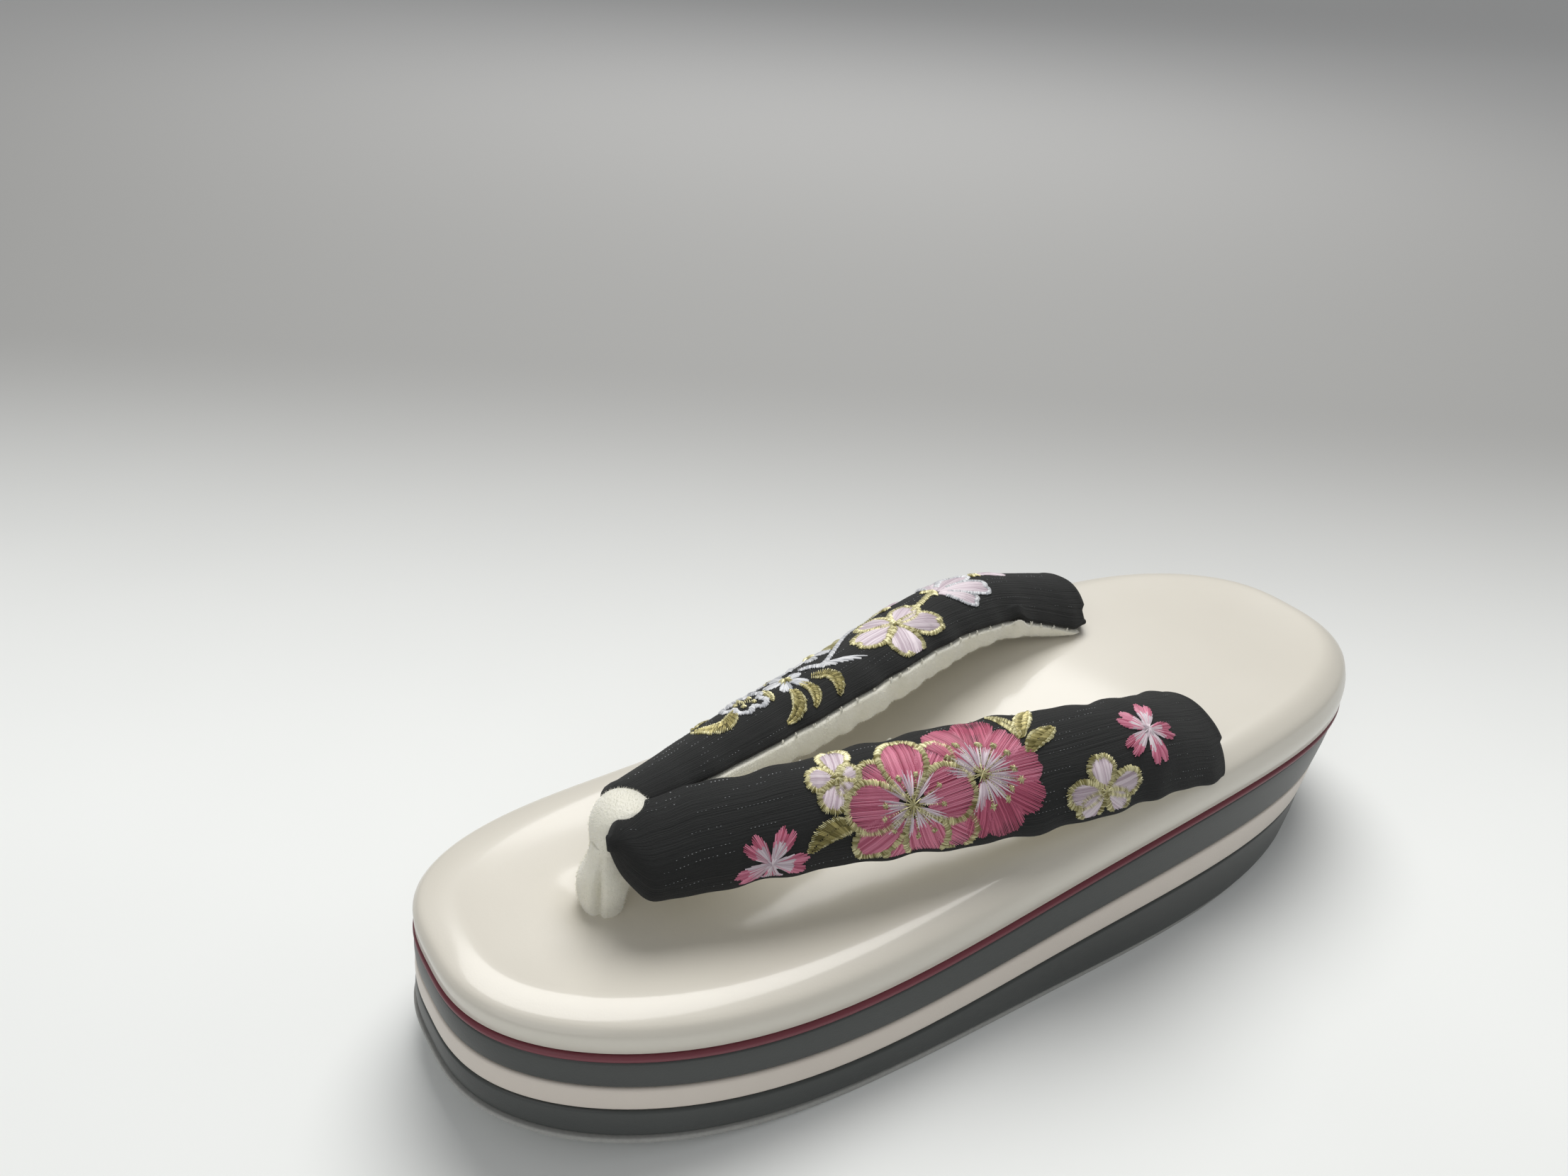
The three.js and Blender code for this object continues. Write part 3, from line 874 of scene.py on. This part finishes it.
class Seam:
    """The hem where crepe and lining meet under an arm's inner edge, as places round its section."""

    def __init__(self, side):
        self.side = side
        self.flip = np.array([HAND[side]["flip"], 1.0, 1.0])
        self.shares = np.linspace(0, 1, CHART_ALONG)
        middle = []
        for share in self.shares:
            inner, outer, crown = arm_at(side, share)
            middle.append((inner + outer) / 2 + arm_up(side, share) * crown)
        self.lengths = lengths_along(np.array(middle))

    def at(self, a, c):
        share = float(np.interp(a, self.lengths, self.shares))
        inner, outer, crown = arm_at(self.side, share)
        up = arm_up(self.side, share)
        away = (inner - outer) / norm(outer - inner)
        lean_out = TUFT_OUT * (1 - min(1.0, abs(c - 0.5)))
        point = inner + away * (SEAM_OUT + lean_out) + up * (c - 0.4)
        point[0] = max(point[0], -CREASE)
        return point, away, True


def mesh_piece(name, points, faces):
    mesh = bpy.data.meshes.new(name)
    mesh.from_pydata([tuple(p) for p in points], [], faces)
    return linked(name, mesh)


class Thread:
    """All stitches of one thread colour, gathered into one mesh."""

    def __init__(self, name, width):
        self.name = name
        self.width = width
        self.points = []
        self.faces = []
        self.tones = []

    def stitch(self, cloth, start, end, lift=0.35, stations=3, sink=0.06):
        """One raised stitch from start to end, each (a, c): a ridge of two faces a station."""
        places = []
        for k in range(stations + 1):
            t = k / stations
            places.append((*cloth.at(*(a + (b - a) * t for a, b in zip(start, end))), t))
        if sum(inside for _, _, inside, _ in places) < 2:
            return
        run = places[-1][0] - places[0][0]
        size = norm(run)
        if size < SHORTEST_STITCH:
            return
        first = len(self.points)
        for p, n, _, t in places:
            side = np.cross(n, run / size)
            arch = sin(pi * clamp(t, 0.06, 0.94)) ** 0.5
            half = self.width / 2 * (0.35 + 0.65 * arch)
            base = p + n * (lift * arch * 0.55 - sink)
            ridge = p + n * (lift * arch + self.width * 0.35)
            for q in (base - side * half, ridge, base + side * half):
                self.points.append(q * cloth.flip * MM)
        for i in range(first, first + 3 * stations, 3):
            for u in (i, i + 1):
                self.faces.append((u, u + 1, u + 4, u + 3))
        self.tones += [rng.random()] * 2 * stations

    def make(self, material, slot):
        """The finished piece; its UV map holds each stitch's own tone."""
        piece = mesh_piece(self.name, self.points, self.faces)
        uv = piece.data.uv_layers.new(name="UVMap").data
        for polygon, tone in zip(piece.data.polygons, self.tones):
            for k in polygon.loop_indices:
                uv[k].uv = (tone, 0.5)
        finish_piece(piece, material, slot)


rng = random.Random(7)
PINK = Thread("pink_stitches", 0.33)
ROSE = Thread("rose_stitches", 0.33)
LILAC = Thread("lilac_stitches", 0.36)
WHITE = Thread("white_stitches", 0.32)
GOLD = Thread("gold_stitches", 0.25)
OLD_GOLD = Thread("old_gold_stitches", 0.28)
SILVER = Thread("silver_dots", 0.15)
TUFTS = Thread("velveteen_tufts", 0.18)


def jitter(size):
    return rng.uniform(-size, size)


def polar(centre, angle, radius):
    turn = radians(angle)
    return centre[0] + radius * cos(turn), centre[1] + radius * sin(turn)


def around(first):
    return [first + turn for turn in (0, 72, 144, 216, 288)]


def petal_reach(q, notch, full):
    """Reach of a petal's rim at q from -1 to 1 across it, as a share of its length."""
    return (1 - abs(q) ** full) ** 0.42 * (1 - notch * bell(q, NOTCH_WIDE))


def petal(cloth, tip, core, centre, angle, reach, spread, notch,
          full=2.6, blend=0.55, start=0.1, streaked=1.0):
    """A petal of satin stitches that run out from the flower's centre: a core colour, then the tips.
    streaked is the share of the stitches that start in the core colour."""
    count = max(5, int(radians(2 * spread) * reach * 0.8 / PITCH))
    for k in range(count + 1):
        q = -0.97 + 1.94 * k / count + jitter(0.02)
        rim = reach * petal_reach(clamp(q, -0.985, 0.985), notch, full)
        rim *= 1 + jitter(0.035)
        turn = angle + q * spread
        streak = rng.random() < streaked
        inner = reach * (blend + jitter(0.16)) if streak else reach * start
        if tip is not None and rim > inner * 1.05:
            tip.stitch(cloth, polar(centre, turn, inner * 0.8), polar(centre, turn, rim), PETAL_LIFT)
        if core is not None and streak:
            far = min(rim * 0.97, reach * (blend + 0.08 + jitter(0.16))) if tip is not None else rim
            near = reach * (start + abs(jitter(0.05)))
            if far > near * 1.2:
                core.stitch(cloth, polar(centre, turn, near), polar(centre, turn, far), PETAL_LIFT * 1.05)


def petal_rim(cloth, centre, angle, reach, spread, notch, start, length, full=2.6):
    """White outline of a petal in short stitches laid across its rim."""
    path = []
    for k in range(61):
        q = -0.999 + 1.998 * k / 60
        q = copysign(abs(q) ** 0.5, q)
        rim = max(reach * start, reach * petal_reach(q * 0.999, notch, full))
        path.append(polar(centre, angle + q * spread, rim))
    rim_stitches(WHITE, cloth, path, length)


def egg_edge(u):
    """Half width of an egg-shaped petal at a share u of its length, as a share of its widest."""
    return max(0.0, sin(pi * clamp(u) ** EGG_WIDEST)) ** EGG_FULL


def egg_spot(centre, turn, length, half, u, q):
    """A place in an egg-shaped petal: u along it from the centre, q across it."""
    c, s = cos(radians(turn)), sin(radians(turn))
    x, y = u * length, q * half
    return centre[0] + x * c - y * s, centre[1] + x * s + y * c


def egg_petal(cloth, thread, centre, shape, notch, lift, full=EGG_FULL, widest=EGG_WIDEST, start=0.06):
    """An egg-shaped petal of satin stitches laid along it; shape is its angle, length and half width."""
    count = max(5, int(2 * shape[2] / PITCH))
    for k in range(count + 1):
        q = -0.97 + 1.94 * k / count + jitter(0.015)
        s = asin(min(0.98, abs(q) ** (1 / full))) / pi
        near, far = s ** (1 / widest), (1 - s) ** (1 / widest)
        far *= 1 - notch * bell(q, EGG_NOTCH_WIDE) + jitter(0.02)
        near = max(near, start) + abs(jitter(0.02))
        root = egg_spot(centre, *shape, near, q * 0.86)
        thread.stitch(cloth, root, egg_spot(centre, *shape, far, q), lift)


def covered(place, centre, petals):
    """Whether a place lies in one of the egg-shaped petals."""
    dx, dy = place[0] - centre[0], place[1] - centre[1]
    for turn, length, half in petals:
        c, s = cos(radians(turn)), sin(radians(turn))
        u, q = (dx * c + dy * s) / length, (dy * c - dx * s) / half
        if 0.05 < u < 0.97 and abs(q) < 0.92 * egg_edge(u):
            return True
    return False


def egg_rim(cloth, centre, shape, notch, width, lift, above=()):
    """The gold line round an egg-shaped petal, left out where a petal in above covers it."""
    turn, length, half = shape
    path = []
    for k in range(-24, 25):
        u = 0.07 + 0.93 * (1 - (abs(k) / 24) ** 1.6)
        q = copysign(egg_edge(u), k)
        u *= 1 - notch * bell(q, EGG_NOTCH_WIDE)
        place = egg_spot(centre, turn, length, half + 0.35, u, q)
        if covered(place, centre, above):
            rim_stitches(GOLD, cloth, path, width, lift=lift)
            path = []
        else:
            path.append(place)
    rim_stitches(GOLD, cloth, path, width, lift=lift)


def rim_stitches(thread, cloth, path, length, pitch=RIM_PITCH, lift=0.6):
    """Short slanting stitches laid across a path."""
    travelled = 0.0
    for (a0, c0), (a1, c1) in zip(path, path[1:]):
        step = hypot(a1 - a0, c1 - c0)
        if step < NOTHING:
            continue
        ua, uc = (a1 - a0) / step, (c1 - c0) / step
        while travelled < step:
            a, c = a0 + ua * travelled, c0 + uc * travelled
            half = length / 2 * (1 + jitter(0.28))
            slant = 0.25 + jitter(0.12)
            da, dc = (-uc + ua * slant) * half, (ua + uc * slant) * half
            thread.stitch(cloth, (a - da, c - dc), (a + da, c + dc), lift, stations=2)
            travelled += pitch
        travelled -= step


def curved(thread, cloth, points, width, count=24, lift=0.45):
    """A line of short stitches along a curve through points."""
    a, c = (even_spline(list(values)) for values in zip(*points))
    rim_stitches(thread, cloth, [(a(k / count), c(k / count)) for k in range(count + 1)], width, lift=lift)


def leaf(thread, cloth, start, bend, end, width):
    """A leaf of slanting satin stitches across a curved middle line; old gold gets short bright gold
    stitches at its edges, a painted highlight for the sheen where the leaf's stitches end.
    """
    count = max(4, int(hypot(end[0] - start[0], end[1] - start[1]) * 1.15 / LEAF_PITCH))
    for k in range(count + 1):
        t = k / count
        a, c = ((1 - t) ** 2 * p + 2 * t * (1 - t) * q + t * t * r for p, q, r in zip(start, bend, end))
        da, dc = (2 * (1 - t) * (q - p) + 2 * t * (r - q) for p, q, r in zip(start, bend, end))
        size = hypot(da, dc)
        ua, uc = da / size, dc / size
        half = width / 2 * sin(pi * clamp(0.1 + 0.84 * t)) ** 0.75 * (1 + jitter(0.06))
        na, nc = -uc + ua * LEAF_SLANT, ua + uc * LEAF_SLANT
        for side in (-1, 1):
            tip = half * side * (1 + jitter(0.08))
            near = half * 0.12 * side * jitter(1.0)
            lift = 0.4 * (0.85 + 0.3 * rng.random())
            thread.stitch(cloth, (a + na * near, c + nc * near), (a + na * tip, c + nc * tip), lift)
            # bright gold stitches at the leaf's edges: painted highlight for the sheen at the stitches'
            # ends
            if thread is OLD_GOLD:
                ends = [(a + na * tip * far, c + nc * tip * far) for far in (0.66, 1.12)]
                GOLD.stitch(cloth, *ends, 0.5, stations=2)


def leaves(cloth, *shapes):
    for shape in shapes:
        leaf(shape[0], cloth, *shape[1:])


def streaks(cloth, centre, turn, reach, spread, count):
    """Lilac threads of uneven length that run out from a flower's centre over its petals."""
    for k in range(count):
        side = turn + spread * (2 * k / (count - 1) - 1) + jitter(2.0)
        near = polar(centre, side, reach * (0.24 + jitter(0.08)))
        LILAC.stitch(cloth, near, polar(centre, side, reach * (1 + jitter(0.2))), 0.5 * (1 + jitter(0.15)))


def stamens(cloth, centre, reach, turns, knot):
    """Fine gold stalks from a flower's centre, each with a small knot at its end."""
    for turn in turns:
        end = polar(centre, turn, reach * (1 + jitter(0.12)))
        rim_stitches(GOLD, cloth, [polar(centre, turn, 0.4), end], 0.4, pitch=0.5, lift=0.7)
        for k in range(8):
            spin = k * 22 + jitter(10)
            size = knot * (1 + jitter(0.3))
            GOLD.stitch(cloth, polar(end, spin, size), polar(end, spin + 180, size), 0.85, stations=2)


def tuft(thread, cloth, centre, reach, count):
    """Short crossing stitches over a flower's centre."""
    for k in range(count):
        spin = 360 * k / count + jitter(9)
        far = polar(centre, spin, reach * (1 + jitter(0.25)))
        thread.stitch(cloth, polar(centre, spin + 180, reach * 0.3), far, 0.85)


def bud(cloth, place, turn, size):
    """A heart-shaped lilac bud of two lobes on a gold calyx."""
    for lobe in (-17, 17):
        petal(cloth, LILAC, None, place, turn + lobe, size, 19, 0.0, full=2.4, blend=0.1)
    for spin in (-60, 0, 60):
        rim_stitches(GOLD, cloth, [polar(place, turn + 180 + spin, 1.6), place], 1.1)


def pink_blossom(cloth, centre, reach, first):
    """A small blossom: notched pink petals, each with lilac streaks from the middle."""
    for turn in around(first):
        size = reach * (1 + jitter(0.03))
        petal(cloth, PINK, LILAC, centre, turn, size, 29, 0.2, blend=0.6, start=0.0, streaked=0.7)
    tuft(LILAC, cloth, centre, reach * 0.2, 9)


def white_blossom(cloth, centre, reach, first):
    """A small blossom with filled white petals and a gold middle."""
    for turn in around(first):
        petal(cloth, WHITE, None, centre, turn, reach * (1 + jitter(0.03)), 29, 0.05, blend=0.2)
    tuft(GOLD, cloth, centre, reach * 0.32, 8)


def ring_blossom(cloth, centre, reach, first):
    """A blossom drawn only by a white scalloped line, with gold stamens."""
    for turn in around(first):
        petal_rim(cloth, centre, turn, reach, 35, 0.06, 0.66, 1.25)
    stamens(cloth, centre, reach * 0.42, around(first), 0.5)


def outlined_blossom(cloth, centre, petals, notch=0.08):
    """A blossom of lilac petals, each (angle, length, half width), with a gold line round every petal."""
    for shape in petals:
        egg_petal(cloth, LILAC, centre, shape, notch, PETAL_LIFT)
    for shape in petals:
        egg_rim(cloth, centre, shape, notch, 1.3, PETAL_LIFT + 0.15)
    tuft(GOLD, cloth, centre, 1.3, 11)


def chart_left(cloth):
    """The arm with the large pink blossoms, at the wearer's left."""
    pink_blossom(cloth, (29.3, 9.7), 7.4, -56)
    pink_blossom(cloth, (113.1, 1.2), 7.8, -62)
    # the back blossom of the large pair: wide petals with fine dark splits, and a streaked middle
    back = (73.7, 1.4)
    for thread, *shape in (
        (ROSE, 104, 13.2, 3.2), (ROSE, -118, 15.0, 4.3), (ROSE, -78, 16.4, 4.6), (PINK, -41, 12.6, 4.0),
        (PINK, -1, 13.0, 4.5), (ROSE, 36, 14.0, 3.9), (ROSE, 73, 14.0, 4.1),
    ):
        egg_petal(cloth, thread, back, shape, 0.05, 0.3, full=0.55, widest=1.9)
    for turn in (-166, -140, -114, -88, -62, -38, -14, 12, 34, 58, 84, 108):
        streaks(cloth, back, turn, 6.6 + jitter(1.0), 9, 6)
    stamens(cloth, back, 7.3, (-140, -112, -76, -50, -26, 2, 20, 37, 55, 84), 0.75)
    tuft(GOLD, cloth, back, 1.9, 14)
    # the front blossom: five wide petals over four, every one gold outlined
    front = (58.2, 4.6)
    low = ((-130, 13.2, 3.4), (-50, 15.8, 3.9), (37, 15.2, 4.0), (111, 12.2, 3.2))
    high = ((149, 14.4, 3.6), (72, 11.8, 4.0), (-87, 15.8, 4.5), (187, 13.9, 4.6), (-8, 13.8, 5.4))
    for raised, petals, above in ((0.15, low, high), (0.42, high, ())):
        for shape in petals:
            egg_petal(cloth, PINK, front, shape, 0.04, raised, start=0.2)
        for k, shape in enumerate(petals):
            egg_rim(cloth, front, shape, 0.04, 1.35, raised + 0.22, petals[k + 1:] + above)
    for turn, length, _ in low + high:
        streaks(cloth, front, turn, length * 0.44, 12, 7)
    stamens(cloth, front, 6.4, (-172, -106, -70, -24, 8, 34, 56, 86, 138, 166), 0.62)
    tuft(GOLD, cloth, front, 2.4, 20)
    # the small gold-outlined blossoms and the leaves
    outlined_blossom(cloth, (44.6, -3.4), (
        (-80, 11.0, 2.6), (196, 6.2, 2.4), (115, 7.0, 2.4), (-19, 4.8, 1.8), (60, 4.4, 1.7),
    ))
    outlined_blossom(cloth, (98.7, 10.6), (
        (-90, 7.4, 2.5), (-6, 9.2, 2.2), (184, 8.6, 2.3), (144, 7.6, 2.0), (42, 6.8, 2.0),
    ))
    leaves(
        cloth,
        (OLD_GOLD, (45.4, 5.9), (41.4, 5.0), (36.9, 9.5), 4.2),
        (GOLD, (84.8, -5.0), (84.4, -9.4), (81.2, -14.4), 3.0),
        (OLD_GOLD, (84.8, -4.6), (86.6, -9.2), (91.6, -15.2), 3.6),
        (OLD_GOLD, (85.2, -1.0), (88.4, -4.4), (92.4, -5.4), 3.7),
    )


def chart_right(cloth):
    """The arm with the white and lilac blossoms, at the wearer's right."""
    # a bud, an opening blossom seen from the side, and a gold-outlined one on its stem
    bud(cloth, (112.6, 1.2), 4, 7.4)
    fan = (95.0, -2.6)
    for turn, reach in ((-50, 10.4), (52, 13.6), (-16, 14.4), (20, 14.8)):
        petal(cloth, None, LILAC, fan, turn, reach, 20, 0.05, full=3.0)
        petal_rim(cloth, fan, turn, reach, 20, 0.05, 0.3, 1.0, full=3.0)
    rim_stitches(GOLD, cloth, [(94.2, -3.4), (96.0, -1.4), (94.6, 1.0)], 1.5)
    curved(GOLD, cloth, [(95, -1.6), (89.5, -3.6), (84, -5.2)], 1.5)
    curved(GOLD, cloth, [(112.4, 1.0), (110.6, 0.4)], 1.3, 8)
    outlined_blossom(cloth, (77.2, -6.0), (
        (-118, 11.0, 3.9), (-31, 12.0, 3.1), (20, 10.0, 3.0), (112, 10.0, 3.1), (175, 13.0, 3.3),
    ), 0.13)
    bud(cloth, (84.4, 4.0), 38, 7.0)
    # the white spray with its feathered end
    curved(WHITE, cloth, [(86, 12.5), (80, 9.5), (73, 5.5), (65, 1.0), (58, -3.0), (53.5, -4.6)], 1.15)
    for k in range(15):
        root = (52.4 + 0.42 * k, -3.4 - 0.2 * k)
        turn, size = -72 + 3.2 * k, 1.4 + 0.34 * k
        far = polar(root, turn + jitter(5), size * (1 + jitter(0.14)))
        WHITE.stitch(cloth, polar(root, turn + 180, size * 0.3), far, 0.4)
    leaves(
        cloth,
        (WHITE, (73.6, 6.4), (76, 10), (79.6, 13.8), 5.4),
        (GOLD, (80.6, 10.4), (84, 12.6), (90, 9.4), 2.0),
        (GOLD, (77.6, 8.2), (80.6, 8.6), (84.2, 6.6), 2.6),
        (GOLD, (61.4, 2.4), (66, 3.6), (70.4, 9.8), 5.6),
    )
    white_blossom(cloth, (58.2, 4.6), 5.4, 20)
    white_blossom(cloth, (46.0, 7.0), 5.6, 50)
    white_blossom(cloth, (43.8, -2.8), 5.0, 10)
    for centre, bend in (((53.6, -5.4), (51.6, -2.6)), ((51.6, 9.6), (53.4, 6.6))):
        curved(WHITE, cloth, [centre, bend, (49.4, centre[1] * 0.2)], 1.6, 12, lift=0.6)
    leaves(
        cloth,
        (OLD_GOLD, (41.9, -6.8), (41.2, -11.8), (34.8, -12.4), 3.0),
        (OLD_GOLD, (45.0, -6.2), (47.0, -9.6), (42.4, -13.0), 2.6),
        (OLD_GOLD, (48.6, -6.0), (55.0, -8.0), (49.4, -13.4), 3.4),
        (GOLD, (38.2, -1.6), (37.6, -4.2), (36.4, -6.2), 1.8),
    )
    ring_blossom(cloth, (32.4, -1.6), 5.0, -60)
    leaves(
        cloth,
        (OLD_GOLD, (19.2, -0.4), (22.4, -8.4), (29.0, -2.6), 3.6),
        (OLD_GOLD, (21.4, 2.6), (26.0, 9.4), (35.4, 9.2), 3.4),
    )
    ring_blossom(cloth, (38.6, 9.6), 4.2, 10)


def silver_lines(cloth, length, half):
    """Silver threads woven lengthwise into the crepe, which come up as broken rows of fine dots."""
    c = -half
    while c < half:
        a = rng.uniform(0, 26)
        while a < length:
            run = rng.uniform(3, 17)
            drift = jitter(0.012)
            for k in range(int(run / DOT_PITCH)):
                spot, row = a + k * DOT_PITCH, c + drift * k
                if spot < length and rng.random() < 0.72:
                    SILVER.stitch(cloth, (spot, row), (spot + DOT_LENGTH, row), 0.1, stations=1, sink=0.0)
            a += run + rng.uniform(7, 40)
        c += rng.uniform(1.1, 2.5)


def stitch_tufts(seam):
    """Where each hem stitch pulls the lining up, a small tuft of velveteen stands over the edge."""
    a = FORK_AT
    while a < seam.lengths[-1] - 5:
        for _ in range(6):
            spot = a + jitter(0.22)
            TUFTS.stitch(seam, (spot, -0.5), (spot + 0.2 + jitter(0.4), 0.5 + jitter(0.4)), 0.2)
        a += TUFT_PITCH * (1 + jitter(0.3))


cloths = {side: Cloth(side) for side in HAND}
chart_left(cloths["left"])
chart_right(cloths["right"])
for cloth in cloths.values():
    silver_lines(cloth, cloth.along[-1] - 4, 13.0)
for side in HAND:
    stitch_tufts(Seam(side))


def hairs(piece, per_mm2, length):
    """Short velveteen hairs over a piece: the corners of one thin leaf each, at a slant."""
    corners = []
    piece.data.calc_loop_triangles()
    for triangle in piece.data.loop_triangles:
        a, b, c = (np.array(piece.data.vertices[k].co) / MM for k in triangle.vertices)
        cross = np.cross(b - a, c - a)
        double = float(norm(cross))
        if double < NOTHING:
            continue
        for _ in range(int(double / 2 * per_mm2 + rng.random())):
            u, v = rng.random(), rng.random()
            if u + v > 1:
                u, v = 1 - u, 1 - v
            root = a + (b - a) * u + (c - a) * v
            tip = cross / double + np.array([jitter(0.7) for _ in range(3)])
            tip = tip / norm(tip) * length * rng.uniform(0.6, 1.2)
            wide = np.cross(tip, [jitter(1.0) for _ in range(3)])
            wide = wide / (norm(wide) + 1e-9) * HAIR_WIDTH / 2
            corners += [(root - wide) * MM, (root + wide) * MM, (root + tip) * MM]
    return corners


nap = hairs(post_foot, 7, 0.5) + hairs(post_loop, 7, 0.5)
nap += hairs(linings["left"], 3, 0.5) + hairs(linings["right"], 5, 0.55)
nap_piece = mesh_piece("velveteen_nap", nap, [(k, k + 1, k + 2) for k in range(0, len(nap), 3)])
finish_piece(nap_piece, CREAM, "cream_velvet")

for thread, name, slot, dark, light, metallic, roughness in (
    (PINK, "rayon_pink_thread", "pink_thread", "#B04A69", "#E896B0", 0.0, 0.42),
    (ROSE, "rayon_rose_thread", "pink_thread", "#9E3B5A", "#D2708D", 0.0, 0.42),
    (LILAC, "rayon_lilac_thread", "lilac_thread", "#BFACB8", "#F1E6EC", 0.0, 0.42),
    (WHITE, "rayon_white_thread", "white_thread", "#A9ACB2", "#F0F1F4", 0.0, 0.42),
    (OLD_GOLD, "metallic_old_gold_thread", "gold_thread", "#6B6330", "#CCC080", 0.25, 0.36),
    (GOLD, "metallic_gold_thread", "gold_thread", "#857C40", "#F6F0C2", 0.25, 0.36),
    (SILVER, "metallic_silver_thread", "white_thread", "#55585B", "#A4A7AA", 0.3, 0.4),
):
    thread.make(silk_thread(name, dark, light, metallic, roughness), slot)
TUFTS.make(CREAM, "cream_velvet")


# Stage: a pale sheet with painted shade, its colour falling to grey behind the shoe and pale again far off,
# and soft light
FLOOR_SIZE = 14.0
SHADE_WAY = (-0.826, 0.563, 0.0)
SHADE_FROM = -0.02
SHADE_TO = 0.34
LIT_AGAIN = 2.0


def make_stage():
    bpy.ops.object.select_all(action="DESELECT")
    bpy.ops.mesh.primitive_plane_add(size=FLOOR_SIZE)
    floor = bpy.context.object
    floor.name = "pale_floor"
    paper, tree, shader = new_material("matt_white_paper", 0.7)
    place = object_place(tree)
    away = add(tree, "VectorMath", {"operation": "DOT_PRODUCT"}, i0=place, i1=SHADE_WAY)
    tone = mixed(tree, noise(tree, place, 0.01, 2.0), "#EDEFEE", "#F3F5F4")
    # painted shade: the floor's colour fades to grey behind the shoe, then back to pale far away
    for start, end, colour in ((SHADE_FROM, SHADE_TO, "#9C9C9B"), (SHADE_TO, LIT_AGAIN, "#EDEDED")):
        fade = add(tree, "MapRange", {"interpolation_type": "SMOOTHSTEP"},
                   Value=away.outputs["Value"], From_Min=start, From_Max=end)
        tone = mixed(tree, fade.outputs[0], tone, colour)
    tree.links.new(tone, shader.inputs["Base Color"])
    floor.data.materials.append(paper)


def soft_light(name, place, aim, size, power, colour):
    data = bpy.data.lights.new(name, "AREA")
    data.shape = "DISK"
    data.size = size
    data.energy = power
    data.color = colour
    light = linked(name, data)
    light.location = place
    light.rotation_euler = (Vector(aim) - Vector(place)).to_track_quat("-Z", "Y").to_euler()


make_stage()
soft_light("ceiling", (-0.52, 0.36, 1.17), (0, 0, 0.03), 1.0, 15.0, (1.0, 0.99, 0.97))
soft_light("room", (0.9, -0.9, 1.0), (0, 0, 0.02), 1.6, 4.5, (1.0, 1.0, 1.0))
bpy.context.scene.view_settings.view_transform = "Standard"
world = bpy.data.worlds.new("studio")
bpy.context.scene.world = world
world.use_nodes = True
sky = world.node_tree.nodes["Background"].inputs
sky["Color"].default_value = to_linear("#E0E1E1")
sky["Strength"].default_value = 0.375

# Camera at the photograph's angle, from the sole's length as its scale
LENS_PX = 1788.55
FRAME_PX = 2212
SENSOR_MM = 36.0
AZIMUTH, ELEVATION, ROLL_ANGLE = radians(55.74), radians(29.59), radians(3.55)
SHIFT_MM = (-35.03, 66.96)
DISTANCE_MM = 303.10


def make_camera():
    back = Vector((
        sin(AZIMUTH) * cos(ELEVATION),
        -cos(AZIMUTH) * cos(ELEVATION),
        sin(ELEVATION),
    ))
    right = Vector((0, 0, 1)).cross(back).normalized()
    up = back.cross(right)
    across = right * cos(ROLL_ANGLE) + up * sin(ROLL_ANGLE)
    upright = -right * sin(ROLL_ANGLE) + up * cos(ROLL_ANGLE)
    place = (back * DISTANCE_MM + across * SHIFT_MM[0] + upright * SHIFT_MM[1]) * MM
    data = bpy.data.cameras.new("camera")
    data.sensor_width = SENSOR_MM
    data.lens = LENS_PX / FRAME_PX * SENSOR_MM
    data.clip_start = 0.01
    camera = linked("camera", data)
    camera.matrix_world = Matrix.Translation(place) @ Matrix((across, upright, back)).transposed().to_4x4()
    bpy.context.scene.camera = camera


make_camera()

bpy.context.view_layer.update()
